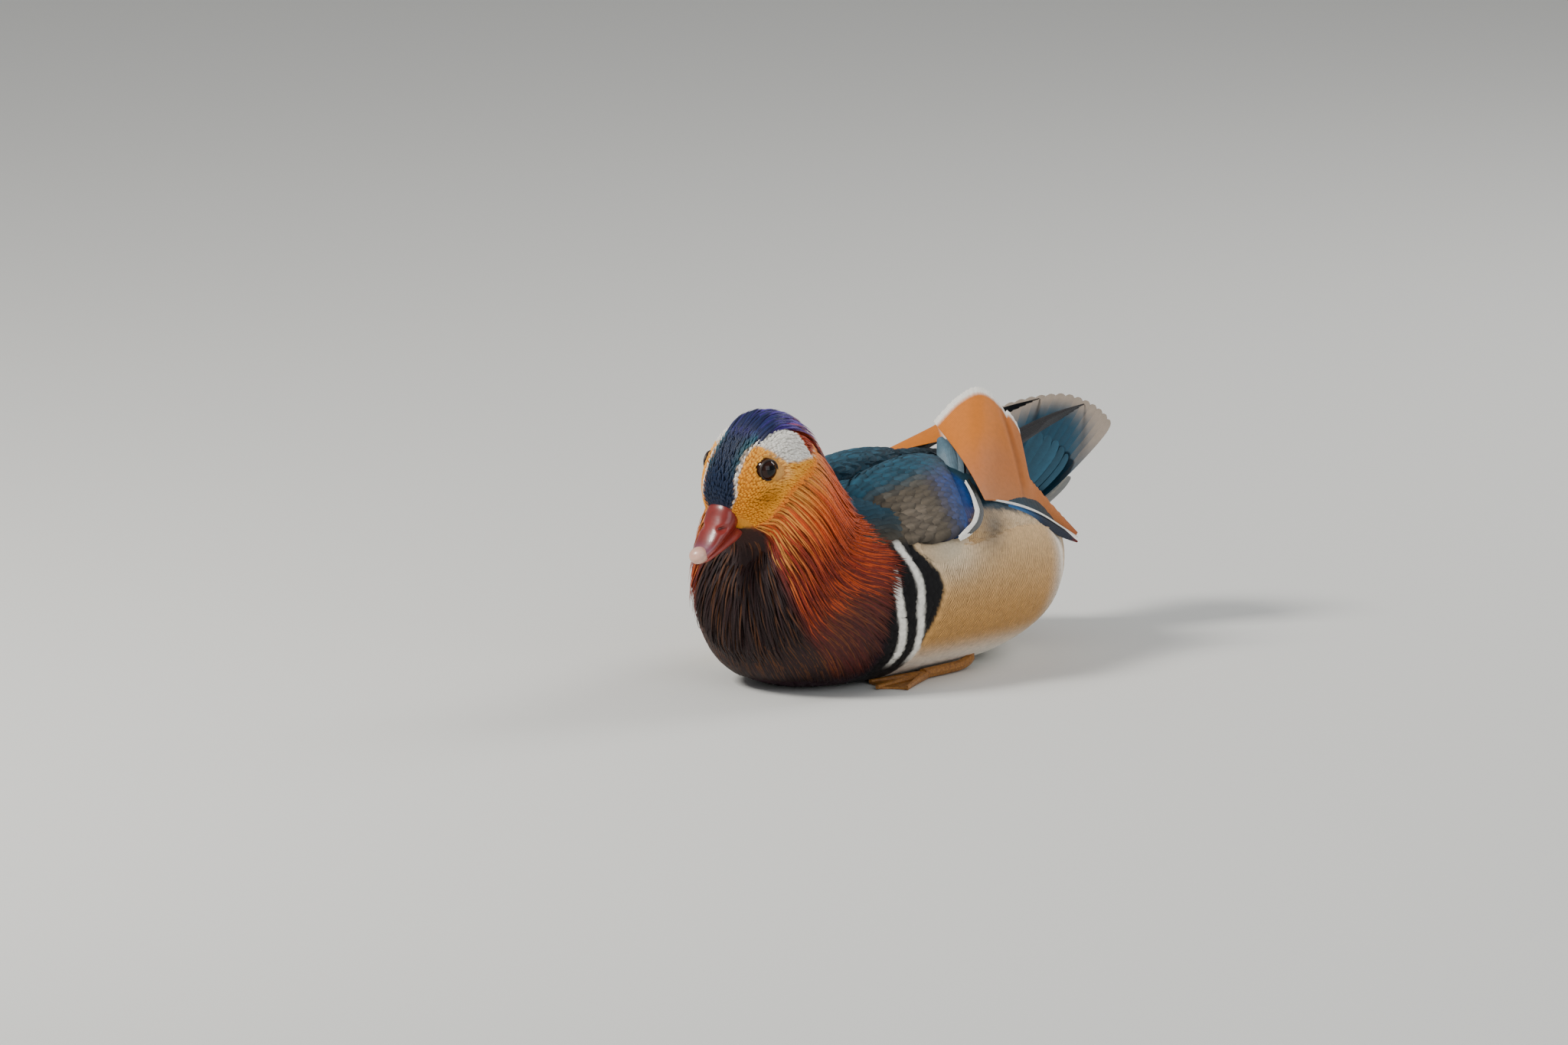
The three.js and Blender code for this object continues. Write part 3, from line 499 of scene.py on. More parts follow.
def head_colour(p, t, ang):
    """The head and ruff's markings from the place on the form: crown, white band, face, ruff, with painted shade under
    the neck.
    """
    a, b = head_coords(p)
    fold = np.degrees(left_of(ang))
    # The crown's lower edge runs from the bill's corner over the eye to the nape.
    edge = np.interp(t, [0.0, 0.08, 0.117, 0.15, 0.19, 0.266, 0.323, 0.382, 0.45, 0.5, 0.53, 0.563, 0.6, 0.64,
                         0.72, 1.0],
                     [56, 54, 51, 39, 30, 26.5, 28, 33, 34, 34, 41, 48, 52, 32, 20, 14])
    crown = step(edge - fold, -1.5, 1.5)
    top = mix(NAVY, TEAL, step(fold, 10, 30) * step(t, 0.15, 0.3))
    top = mix(top, VIOLET, step(t, 0.3, 0.44) * step(30 - fold, -6, 14) * 0.85)
    top = mix(top, COPPER, step(t, 0.46, 0.55))
    face = mix(AMBER, GOLD, step(b, 4, 16) * step(a, 34, 50) * 0.6)
    face = mix(face, AMBER, fall(a, 24, 40))
    patch = np.exp(-(((a - 40) / 7) ** 2 + ((b - 11) / 4.5) ** 2))
    face = mix(face, OCHRE, patch * 0.75)
    ring = np.exp(-(((a - 50.5) / 8.8) ** 8 + ((b - 21.8) / 8.0) ** 8)) * step(a, 47, 53)
    # The white starts as a line along the crown's edge and widens over and behind the eye.
    low = np.interp(t, [0.0, 0.117, 0.189, 0.263, 0.33, 0.35, 0.4, 0.447, 0.514, 0.581, 0.61, 0.66],
                    [59, 55, 37, 31.5, 32, 44, 60, 68, 66, 57, 53, 20])
    white = step(low - fold, -1.5, 1.5) * (1 - crown)
    face = mix(face, CREAM, ring * 0.15)
    face = mix(face, WHITE, white)
    # The ruff begins behind and below the cheek.
    start = np.interp(fold, [30, 50, 58, 68, 81, 92, 105, 115, 130, 150, 180],
                      [0.6, 0.62, 0.605, 0.565, 0.5, 0.43, 0.3, 0.15, 0.03, 0.0, 0.0])
    ruff = step(t - start, -0.02, 0.025)
    down = step(t - start, 0.0, 0.5)
    hot = mix(ORANGE, RUST, np.clip(down * 0.95, 0, 1))
    hot = mix(hot, GOLD, fall(t - start, 0.0, 0.16) * 0.45)
    # Under the neck and where it meets the breast the ruff is painted near-black: partly the dark breast feathers,
    # partly painted shade under the bill and the hanging ruff.
    dark = step(fold, np.interp(t, [0, 0.2, 0.4], [104, 112, 124]), np.interp(t, [0, 0.2, 0.4], [118, 128, 140]))
    dark = np.maximum(dark, step(fold, 66, 112) * step(t, 0.74, 1.0) * 0.8)
    hot = mix(hot, BLACK, dark * 0.94)
    col = mix(face, hot, ruff)
    return mix(col, top, crown), ruff, crown


def smudge(p):
    """The dark smoky patch on the flank behind the wing's crescent."""
    y, z = p[..., 1], p[..., 2]
    return np.exp(-(((y - 33 - 0.6 * (z - 80)) / 13) ** 2 + ((z - 80) / 12) ** 2))


def trunk_colour(p):
    """Breast, bars, flanks, belly, back and rump from the place in space."""
    x, y, z = np.abs(p[..., 0]), p[..., 1], p[..., 2]
    first = np.interp(z, [20, 26, 43, 56, 67, 76], [-40, -41.5, -46.5, -49, -49.8, -51])
    second = np.interp(z, [20, 26.5, 42, 57.6, 66.7, 76], [-28, -30.2, -33.7, -33.7, -36.3, -40.6])
    last = np.interp(z, [20, 30, 39, 53, 62, 76], [-27, -25.8, -22, -16.8, -19.5, -31])
    col = np.broadcast_to(BUFF, p.shape).copy()
    col = mix(col, TAN, fall(z, 30, 70) * 0.7)
    col = mix(col, CREAM, np.exp(-((y + 8) / 22) ** 2) * step(z, 48, 74) * 0.85)
    col = mix(col, SMOKE, smudge(p) * 0.85)
    col = mix(col, WHITE, fall(z, 5, 26) * 0.95)
    rear = y - 0.35 * (z - 50)
    col = mix(col, WHITE, step(rear, 76, 108) * fall(rear, 106, 128) * step(z, 8, 34) * 0.75)
    col = mix(col, lin("8b7c6c"), step(rear, 112, 130) * 0.7)
    ridge = np.interp(y, [r[0] for r in TRUNK_RINGS], [r[1] for r in TRUNK_RINGS])
    back = step(z - ridge, -20, -9) * fall(x, 34, 48)
    col = mix(col, mix(SLATE, INK, step(y, 40, 80)) * 0.8, np.clip(back, 0, 1))
    # Black, white, black, white and black again behind the maroon breast.
    col = mix(col, BLACK, fall(y - last, -1.2, 1.2))
    for centre, half in ((first, 2.4), (second, 2.3)):
        bar = fall(np.abs(y - centre), half - 0.7, half + 0.7) * step(z, 10, 18) * fall(z, 78, 86)
        col = mix(col, WHITE, bar)
    # The shoulder's olive feathers run on to the ruff above the bars.
    col = mix(col, OLIVE, step(z, 77, 83) * fall(y, -16, 0) * step(x, 20, 34))
    return mix(col, MAROON, fall(y - first, -16, -8) * fall(z, 77, 83))


def barred(p):
    """How strongly the flank's fine wavy bars show."""
    x, y, z = np.abs(p[..., 0]), p[..., 1], p[..., 2]
    last = np.interp(z, [20, 30, 39, 53, 62, 76], [-27, -25.8, -22, -16.8, -19.5, -31])
    return step(y - last, 0, 6) * fall(y, 92, 108) * step(z, 10, 26) * (1 - step(z, 56, 80) * 0.8) \
        * step(x, 20, 40)


def shoulder_colour(t, ang):
    """Shoulder feathers: slate over the back, olive-brown in front, deep blue behind."""
    d = np.degrees(ang)
    col = np.broadcast_to(OLIVE, t.shape + (3,)).copy()
    col = mix(col, lin("6e6458"), np.exp(-(((t - 0.2) / 0.14) ** 2 + ((d - 112) / 24) ** 2)) * 0.7)
    col = mix(col, SLATE, fall(d, 58, 84))
    blue = step(t, 0.32, 0.6) * step(d, 56, 86)
    return mix(col, BLUE, np.clip(blue, 0, 1) * 0.92)


def shaded(col, stations, spread, edge, ridge, root, tip=1.0, bars=0.0):
    """Darker edges and roots, a lighter shaft, and a shade of its own for each feather."""
    run = np.interp(np.linspace(0, 1, stations), [0, 0.4, 1], [root, 1.0, tip])[:, None, None]
    own = 1 + rng.normal(0, spread, len(col))
    return rgba(col * run * np.array([edge, ridge, edge])[:, None] * own[:, None, None, None], bars)


def paint(base, stations, edge=0.78, ridge=1.12, root=0.7, tip=1.0, spread=0.08):
    """Colours for a set of feathers from one colour each."""
    return shaded(base[:, None, None, :], stations, spread, edge, ridge, root, tip)


def by_place(colour, bars, spread):
    """A painter that takes colours from where each point of a feather lies, so that markings keep crisp edges."""
    def painter(pos, side, width, t, a):
        out = side * width[..., None]
        across = np.stack([pos - out, pos, pos + out], 2)
        return shaded(colour(across), width.shape[1], spread, 0.9, 1.05, 0.85, bars=bars(across))
    return painter


def unwrap(roots):
    """A root's place on the form laid out flat."""
    return np.stack([roots[:, 0], (roots[:, 1] / (2 * np.pi)) % 1.0], 1)


def coat(name, form, roots, material_, length, width, colours, lift=0.5, sunk=1.0, stations=5, nodes=(), thick=0.22,
         mirror=False, cup=0.15, **how):
    pos, side, up, w, t, a = lay(form, roots, length, width, lift, sunk, stations, **how)
    if callable(colours):
        colours = colours(pos, side, w, t, a)
    if mirror:
        flip = np.array([-1, 1, 1])
        pos, side, up = pos * flip, side * flip, up * flip
    high = np.maximum(w * thick, 0.06)
    high[:, 0] *= 0.5
    fit_out(feathers(name, pos, side, up, w, high, colours, unwrap(roots), cup), material_, nodes)


def head_depth(t, ang):
    """How far the coat's roots lie inside the head's form: least on the face, most under the ruff."""
    fold = np.degrees(left_of(ang))
    crown = fall(fold, 34, 46) * (step(t, 0.2, 0.4) * 2.4 + step(t, 0.42, 0.6) * 3.4)
    nape = fall(fold, 56, 96) * step(t, 0.5, 0.66) * 2.4
    return 0.6 + np.maximum(crown, step(t, 0.4, 0.62) * 3.4 + nape)


VOXEL, SKIN_PAINTED_SHADE = 0.0022, 0.75


def skin_piece():
    """Head, neck, trunk, shoulders and wings under the coat, fused into one closed skin."""
    verts, quads, tris, colours, total = [], [], [], [], 0
    jobs = [(head_neck, -2.2, False), (trunk, -1.2, False)]
    for m in (False, True):
        jobs += [(shoulder, -1.5, m), (wing, -2.0, m)]
    t, a = np.linspace(0, 1, 90)[:, None], np.linspace(-np.pi, np.pi, 96, endpoint=False)[None, :]
    t, a = np.broadcast_arrays(t, a)
    for form, grow, m in jobs:
        here = form.at(t, a)
        v, q, t3 = tube(form.at(t, a, grow) * np.array([-1 if m else 1, 1, 1]))
        if form is head_neck:
            v[:-2] -= form.normal(t, a).reshape(-1, 3) * (head_depth(t, a).reshape(-1, 1) - 1.2)
            col = head_colour(here, t, a)[0]
        elif form is trunk:
            col = trunk_colour(here)
        else:
            col = mix(OLIVE * 0.6, trunk_colour(here), fall(here[..., 2], 76, 80))
        verts.append(v)
        quads.append(q + total)
        tris.append(t3 + total)
        colours.append(capped(col))
        total += len(v)
    verts, colours = np.concatenate(verts), np.concatenate(colours)
    verts[:, 2] = np.maximum(verts[:, 2], 0.4)
    ob = outward(build("skin", verts, np.concatenate(quads), np.concatenate(tris)))
    change = ob.modifiers.new("One", "REMESH")
    change.mode = "VOXEL"
    change.voxel_size = VOXEL
    smooth = ob.modifiers.new("Soft", "SMOOTH")
    smooth.iterations = 4
    fused = bpy.data.meshes.new_from_object(ob.evaluated_get(bpy.context.evaluated_depsgraph_get()))
    ob.modifiers.clear()
    ob.data = fused
    count = len(fused.vertices)
    co = np.empty(count * 3, np.float32)
    fused.vertices.foreach_get("co", co)
    co = co.reshape(-1, 3) / MM
    tree = KDTree(len(verts))
    for i, v in enumerate(verts):
        tree.insert(v, i)
    tree.balance()
    near = np.array([tree.find(v)[1] for v in co])
    # The skin takes the plumage's colours darkened, as painted shade where it shows between the feathers.
    dye(fused, rgba(colours[near] * SKIN_PAINTED_SHADE))
    fused.polygons.foreach_set("use_smooth", np.ones(len(fused.polygons), bool))
    return ob


DOWN = grained("skin_down", 900.0, 4.0, 0.5, 0.0003, (0.7, 1.25), Roughness=0.8)
fit_out(skin_piece(), DOWN, ("head", "neck", "breast", "torso"))

# Head feathers.
EYE = dict(back=49.5, up=22.2, side=17.6, radius=6.4)


def off_eye(form, roots, margin):
    """Roots whose feathers would not lie over an eye."""
    a, b = head_coords(form.at(roots[:, 0], roots[:, 1]))
    ahead = np.where(a < EYE["back"], margin, 0)
    far = ((a - EYE["back"]) / (6.0 + ahead)) ** 2 + ((b - EYE["up"]) / 6.7) ** 2
    return roots[far > 1]


def off_bill(form, roots):
    """Roots behind the line where the bill meets the face."""
    a, b = head_coords(form.at(roots[:, 0], roots[:, 1]))
    return roots[(a > np.interp(b, [-8, 0, 12, 18], [30, 28.5, 23, 22])) | (b < -9)]


def head_paint(t, a):
    """Colours for the head's short feathers from where each station of them lies."""
    n, s = t.shape
    col = head_colour(head_neck.at(t, a), t, a)[0]
    run = np.interp(np.linspace(0, 1, s), [0, 0.5, 1], [0.85, 1.0, 1.05])
    col = col * run[None, :, None] * (1 + rng.normal(0, 0.06, n))[:, None, None]
    return rgba(np.repeat(col[:, :, None], 3, 2))


face = scatter(head_neck, 0.015, 0.62, -np.pi, np.pi, 1.25, 1.5)
face = off_bill(head_neck, off_eye(head_neck, face, 2.6))
col, ruff, crown = head_colour(head_neck.at(face[:, 0], face[:, 1]), face[:, 0], face[:, 1])
keep = ruff < 0.75
face, crown = face[keep], crown[keep]
long = np.where(crown > 0.5, 7.5, 3.4) * (0.7 + face[:, 0])
for k, part in enumerate((crown <= 0.5, crown > 0.5)):
    roots = face[part]
    coat(("face_feathers", "crown_feathers")[k], head_neck, roots, (SOFT, GLOSSY)[k],
         long[part] * rng.uniform(0.85, 1.15, part.sum()),
         (0.62, 0.6)[k], lambda pos, side, w, t, a: head_paint(t, a), lift=(0.3, 0.4)[k],
         sunk=0.9, stations=4, spread=0.12, depth=head_depth(roots[:, :1], roots[:, 1:])[..., None] - 0.4)

# The crest sweeps back from the crown over the nape.
crest = scatter(head_neck, 0.34, 0.62, -0.6, 0.6, 1.9, 2.8)
tc = crest[:, 0]
shade = mix(mix(NAVY, VIOLET, step(tc, 0.32, 0.42)), COPPER, step(tc + rng.normal(0, 0.02, len(tc)), 0.44, 0.52))
shade = mix(shade, TEAL, step(tc, 0.57, 0.62) * 0.7)
cols = paint(shade, 8, edge=0.6, ridge=1.3, spread=0.12)
coat("crest_feathers", head_neck, crest, GLOSSY, rng.uniform(20, 34, len(crest)), 1.1, cols,
     lift=rng.uniform(0.3, 1.1, len(crest)), sunk=1.0, stations=8, nodes=("crest",), spread=0.05,
     depth=head_depth(crest[:, :1], crest[:, 1:])[..., None] - 1.2, profile=PLUME)

# The ruff.
hackle = scatter(head_neck, 0.05, 0.96, -np.pi, np.pi, 1.5, 2.8)
hackle = off_bill(head_neck, hackle)
col, ruff, crown = head_colour(head_neck.at(hackle[:, 0], hackle[:, 1]), hackle[:, 0], hackle[:, 1])
keep = ((ruff > 0.4) & (crown < 0.5)) | (hackle[:, 0] > 0.61)
hackle, col = hackle[keep], col[keep]
n = len(hackle)
th = hackle[:, 0]
long = np.interp(th, [0.05, 0.3, 0.5, 0.7, 0.9], [12, 26, 48, 60, 56]) * rng.uniform(0.8, 1.15, n)
# How far back the ruff's tips reach at each height.
TIP_LINE = ([0, 38, 55, 64, 74, 84, 100, 115], [-56, -53, -47, -42, -46, -47, -44, -42])
for _ in range(3):
    path = lay(head_neck, hackle, long, 1.0, 1.5, 0.8, 6, over_trunk=True)[0]
    start, tip = path[:, 0], path[:, -1]
    last_y = np.interp(tip[:, 2], *TIP_LINE) + rng.normal(0, 1.6, n)
    last_y = last_y + 15 * fall(np.abs(tip[:, 0]), 14, 34) * step(tip[:, 2], 80, 95)
    by_y = np.where(tip[:, 1] > last_y, (last_y - start[:, 1]) / np.maximum(tip[:, 1] - start[:, 1], 1e-3), 1)
    by_z = np.where(tip[:, 2] < 9, (start[:, 2] - 9) / np.maximum(start[:, 2] - tip[:, 2], 1e-3), 1)
    long = long * np.clip(np.minimum(by_y, by_z), 0.05, 1)
keep = long > 7
hackle, col, long, th = hackle[keep], col[keep], long[keep], th[keep]
n = len(hackle)
# A random share of the hackles, more of the bright ones, get a painted highlight: a golden glow along the shaft.
lit_hackles = rng.random(n) * np.where(col.sum(1) > 0.25, 1.0, 2.4) < 0.62


def hackle_paint(t, a, lit):
    """Colours for hackles: the ruff's own along their length, with a bright shaft on those that are lit."""
    n, s = t.shape
    run = np.linspace(0, 1, s)
    base = head_colour(head_neck.at(t, a), t, a)[0] * (1 + rng.normal(0, 0.14, n))[:, None, None]
    base = base * np.interp(run, [0, 0.5, 1], [0.9, 1.0, 0.7])[None, :, None]
    glow = lit[:, None] * np.interp(run, [0, 0.15, 0.75, 1], [0.6, 0.8, 0.5, 0.1])[None, :]
    warm = mix(ORANGE, GOLD, fall(t, 0.5, 0.8))
    dim = base.sum(-1) < 0.12
    warm = np.where(dim[..., None], OCHRE, warm)
    shaft = mix(base * 1.15, warm, glow * np.where(dim, 0.4, 1.0))
    return rgba(np.stack([base * 0.55, shaft, base * 0.55], 2))


half = n // 2
order = rng.permutation(n)
for k, part in enumerate((order[:half], order[half:])):
    coat(f"ruff_hackles_{k + 1}", head_neck, hackle[part], HACKLE, long[part], rng.uniform(0.6, 1.0, len(part)),
         lambda pos, side, w, t, a: hackle_paint(t, a, lit_hackles[part].astype(float)),
         lift=rng.uniform(0.6, 3.0, len(part)), sunk=0.8, stations=9, spread=0.06, over_trunk=True,
         depth=head_depth(hackle[part][:, :1], hackle[part][:, 1:])[..., None], thick=0.35, profile=STRAND)


def mantle_colour(t, ang):
    """Olive-brown at the neck's sides and slate over its back, as the shoulders that it runs into."""
    fold = np.degrees(left_of(ang))
    return mix(np.broadcast_to(OLIVE, t.shape + (3,)), SLATE, fall(fold, 45, 75))


# Short feathers between the ruff's tips and the shoulders.
mantle = scatter(head_neck, 0.8, 0.985, -np.pi, np.pi, 3.2, 3.2)
place = head_neck.at(mantle[:, 0], mantle[:, 1])
mantle = mantle[(place[:, 1] > -62) & (place[:, 2] > 76)]
coat("mantle_feathers", head_neck, mantle, SOFT, rng.uniform(12, 16, len(mantle)), 3.2,
     lambda pos, side, w, t, a: paint(mantle_colour(t[:, 0], a[:, 0]), 7, edge=0.75, ridge=1.15, root=0.8,
                                      spread=0.12),
     lift=0.5, sunk=1.0, stations=7, spread=0.08, thick=0.06, cup=0.05, over_trunk=True,
     depth=head_depth(mantle[:, :1], mantle[:, 1:])[..., None] - 0.6,
     profile=ROUND)

# Breast, flanks, belly and back.
body = scatter(trunk, 0.06, 0.985, -np.pi, np.pi, 3.5, 3.7)
place = trunk.at(body[:, 0], body[:, 1])
body = body[place[:, 2] > 3.0]
place = trunk.at(body[:, 0], body[:, 1])
size = np.interp(place[:, 1], [-100, -60, -20, 60, 120, 155], [0.6, 0.62, 0.9, 1.25, 1.0, 0.85])
order = rng.permutation(len(body))
for k, part in enumerate(np.array_split(order, 2)):
    coat(f"body_feathers_{k + 1}", trunk, body[part], SOFT, 14.0 * size[part] * rng.uniform(0.85, 1.15, len(part)),
         3.6 * size[part], by_place(trunk_colour, barred, 0.03),
         lift=0.55, sunk=1.1, stations=7, spread=0.08, thick=0.05, cup=0.03,
         profile=BLUNT)

# Shoulders, crescent and wing coverts.
def both_sides(name, form, roots, material_, length, width, colours, nodes=(), **how):
    for side, label in ((False, "left"), (True, "right")):
        coat(f"{name}_{label}", form, roots, material_, length, width, colours,
             nodes=[f"{n}_{label}" for n in nodes], mirror=side, **how)


puff = scatter(shoulder, 0.02, 0.86, -0.6, np.pi * 1.02, 4.0, 4.4)
t, a = puff[:, 0], puff[:, 1]
keep = shoulder.at(t, a)[:, 2] > 79.5
puff, t, a = puff[keep], t[keep], a[keep]
cols = paint(shoulder_colour(t, a), 8, edge=0.5, ridge=1.25, root=0.65, tip=0.8, spread=0.16)
tips = step(np.linspace(0, 1, 8), 0.75, 1.0)[None, :, None] * (step(t, 0.3, 0.5) * 0.6)[:, None, None]
cols[..., :3] = mix(cols[..., :3], NAVY, tips)
both_sides("shoulder_feathers", shoulder, puff, SOFT, 22.0 * (0.7 + 0.5 * t), 4.4, cols, nodes=("shoulder",),
           lift=0.9, sunk=1.3, stations=8, spread=0.07, thick=0.07, cup=0.06,
           profile=ROUND)

CRESCENT = np.array([(41, 38.1, 99.8), (47.9, 34.1, 95.4), (54.6, 28.8, 90.5), (59.4, 24.1, 86.1), (64.5, 14.5, 82),
                     (68, 4, 80), (69.5, -5.5, 78)])


def wing_colour(p):
    """Over the sail's shaft the wing is dark; under it the flank's feathers lap over the wing's edge."""
    shaft = np.interp(p[..., 1], [0, 36, 58, 80, 106, 132], [98, 92, 88, 81.5, 72, 58])
    under = fall(p[..., 2] - shaft, -6, -3.5) * step(np.abs(p[..., 0]), 26, 34)
    flank = mix(np.broadcast_to(BUFF, p.shape), CREAM, step(p[..., 1], 30, 60) * 0.4)
    flank = mix(flank, SMOKE, smudge(p) * 0.85)
    dark = mix(np.broadcast_to(SLATE * 0.6, p.shape), lin("26282a"), step(p[..., 1], 60, 110))
    # The puff's blue runs back as far as the crescent.
    rim = np.interp(p[..., 2], CRESCENT[::-1, 2], CRESCENT[::-1, 1])
    ahead = 1 - step(p[..., 1] - rim, -1, 2)
    dark, flank = mix(dark, BLUE, ahead * 0.9), mix(flank, BLUE, ahead * 0.9)
    return mix(dark, flank, under)


def wing_bars(p):
    shaft = np.interp(p[..., 1], [0, 36, 58, 80, 106, 132], [98, 92, 88, 81.5, 72, 58])
    return fall(p[..., 2] - shaft, -4, 0) * step(np.abs(p[..., 0]), 26, 34) * 0.5


cover = scatter(wing, 0.05, 0.96, -0.5, np.pi * 1.05, 3.4, 3.8)
both_sides("wing_coverts", wing, cover, SOFT, 15.0, 4.0,
           by_place(wing_colour, wing_bars, 0.04), nodes=("wing",),
           lift=0.7, sunk=1.1, stations=7, spread=0.06, thick=0.05, cup=0.03,
           profile=BLUNT)


# Single long feathers.
def quills(name, lines, widths, normals, colours, material_, nodes=(), thick=0.5, cup=0.12):
    """Long feathers through given lines: lines (n, k, 3), widths (n, k), normals (n, 3)."""
    n, k = widths.shape
    s = np.linspace(0, 1, colours.shape[1])

    def run(v):
        return np.moveaxis(spline(np.moveaxis(v, 1, 0), s), 0, 1)

    pos = run(lines)
    width = np.maximum(run(widths), 0.1)
    go = np.gradient(pos, axis=1)
    side = unit(np.cross(go, run(np.repeat(normals[:, None], k, 1))))
    up = unit(np.cross(side, go))
    roots = np.stack([np.linspace(0.1, 0.9, n), np.full(n, 0.5)], 1)
    high = np.full(width.shape, thick)
    fit_out(feathers(name, pos, side, up, width, high, colours, roots, cup), material_, nodes)


def bezier(a, b, c, k):
    u = np.linspace(0, 1, k)[:, None]
    return a * (1 - u) ** 2 + 2 * b * u * (1 - u) + c * u * u


# The white crescent along the puff's rear edge, a black-green row behind it, and the grey lobe before the sail.
EDGE_NORMAL = np.array([0.8, -0.25, 0.55])
LOBE = np.array([(36, 40, 97), (31, 45, 105), (24, 50, 112.5), (16, 56, 118)])
for label, sign in SIDES:
    flip = np.array([sign, 1, 1])
    rows = np.stack([CRESCENT, CRESCENT + np.array([0.3, -0.9, -0.8])]) + EDGE_NORMAL * 2.3
    widths = np.array([[0.4, 0.9, 1.4, 1.7, 2.0, 2.1, 1.2], [0.3, 0.6, 1.0, 1.3, 1.6, 1.9, 1.0]])
    quills(f"crescent_{label}", rows * flip, widths, same(EDGE_NORMAL, 2) * flip,
           paint(same(WHITE, 2), 20, edge=0.95, ridge=1.0, root=0.95, spread=0.02), SOFT, thick=0.5)
    rows = CRESCENT + EDGE_NORMAL * 1.7 + np.array([0.2, 3.2, 0.4])
    quills(f"crescent_edge_{label}", rows[None] * flip, np.array([[0.8, 1.4, 1.8, 2.0, 1.9, 1.5, 0.6]]),
           same(EDGE_NORMAL, 1) * flip, paint(same(INK, 1), 20, spread=0), GLOSSY)
    rows = LOBE[None] if sign > 0 else LOBE[None] - (LOBE[None] - LOBE[0]) * 0.55
    rows = rows + np.array([(0, 0, 0), (2.4, 2.0, -1.6), (-3, -1.5, 1.0)])[:, None]
    cols = paint(np.stack([lin("5f7480"), lin("22303c"), lin("46606e")]), 16, edge=0.8, ridge=1.25, root=0.9,
                 spread=0.04)
    quills(f"tertials_{label}", rows * flip, np.repeat(np.array([[2.5, 4.4, 4.8, 1.6]]), 3, 0),
           np.broadcast_to(np.array([0.5, -0.8, 0.2]), (3, 3)) * flip, cols, GLOSSY, thick=0.4)

# The folded flight feathers cross over the rump as one dark blade on each side, their tips in steps.
s = np.linspace(0, 1, 5)
lines = np.stack([bezier(np.array([24 + 3 * v, 62 + 6 * v, 101 - 4 * v]), np.array([20 + 2 * v, 118, 118 - 4 * v]),
                         np.array([15 + 2 * v, 184 - 22 * v, 120 - 4 * v]), 6) for v in s])
widths = np.repeat(np.array([[2.2, 2.6, 2.4, 2.0, 1.5, 0.4]]), 5, 0)
cols = paint(same(lin("1f1c1e"), 5), 14, edge=1.0, ridge=0.7, root=1.0, spread=0.05)
cols[:, :, 2, :3] = lin("3d3f42")
for label, sign in SIDES:
    flip = np.array([sign, 1, 1])
    quills(f"primaries_{label}", lines * flip, widths, np.broadcast_to(np.array([0.75, 0.1, 0.65]), (5, 3)) * flip,
           cols, QUILL, thick=0.35)

# The tail: fourteen feathers fanned and raised, with coverts over and under their roots.
ROOT, RISE = np.array([0, 126, 70]), math.radians(41)


STOPS = (0, 0.25, 0.5, 0.75, 0.9, 0.97, 1)  # the places along a tail feather that its widths are given at
FAN_BASE, FAN_DROP = 12, 3.4  # how far out and how far down the outermost root is


def fan(count, length, spread, width, rise=0.0, tilt=(0.8, 1.0)):
    """A fan of feathers, its spread in degrees to each side: their lines, widths and normals."""
    s = np.linspace(-1, 1, count)[:, None]
    reach = np.array(STOPS)[None, :] * np.asarray(length(s))
    f = s * math.radians(spread)
    lift = RISE * (tilt[0] + (tilt[1] - tilt[0]) * np.array(STOPS)[None, :])
    pts = ROOT + np.stack([s * FAN_BASE + np.sin(f) * reach, np.cos(lift) * np.cos(f) * reach,
                           np.sin(lift) * reach - FAN_DROP * np.abs(s) + rise], -1)
    normal = np.stack([-s[:, 0] * 0.25, np.full(count, -math.sin(RISE)), np.full(count, math.cos(RISE))], -1)
    return pts, np.broadcast_to(np.array(width, float), (count, len(STOPS))).copy(), normal


pts, w, normal = fan(14, lambda s: 82 - 9 * s * s, 19, (3, 4.4, 5.6, 6.2, 6.0, 4.4, 1.6))
st = 22
cols = paint(same(lin("143e52"), 14), st, edge=1.25, ridge=0.8, root=0.8, spread=0.08)
run = np.linspace(0, 1, st)
edge_s = np.abs(np.linspace(-1, 1, 14))
rim = step(run[None, :], (0.56 - 0.34 * edge_s[:, None] ** 2), (0.84 - 0.2 * edge_s[:, None] ** 2))
cols[..., :3] = mix(cols[..., :3], TAUPE, rim[:, :, None] * 0.92)
quills("tail_feathers", pts, w, normal, cols, QUILL, nodes=("tail",), thick=0.35)
pts, w, normal = fan(9, lambda s: 50 - 8 * s * s, 16, (3, 4.5, 6.0, 6.2, 4.6, 2.8, 0.8), 3.0, (0.92, 1.0))
quills("tail_coverts", pts, w, normal, paint(same(lin("1d4254"), 9), 14, edge=1.2, ridge=0.8), SOFT, thick=0.3)
pts, w, normal = fan(9, lambda s: 48 - 6 * s * s, 15, (3, 5, 6.4, 6.4, 4.8, 3, 0.8), -5.0, (0.62, 0.8))
quills("undertail_coverts", pts, w, -normal, paint(same(WHITE, 9), 14, edge=0.95, ridge=1.0, root=0.9),
       SOFT, thick=0.3)


# Sails.
SAILS = {
    "left": ([(57, 36, 92), (55, 58, 88), (51, 80, 81.5), (47, 106, 72), (48, 132, 58)],
             [(4, 61, 126), (13, 70, 139), (21, 79, 144), (30, 86, 136), (39, 91, 122), (42, 91, 101), (46, 106, 83),
              (48, 133, 60)]),
    "right": ([(56, 50, 91), (53, 72, 86), (50, 92, 78), (47, 112, 69), (48, 132, 58)],
              [(4, 90, 112), (13, 97, 118), (21, 104, 118), (29, 108, 113), (36, 110, 105), (41, 113, 96), (44, 119, 82),
               (48, 133, 60)])}
OUT = unit(np.array([0.8, -0.55, 0.1]))


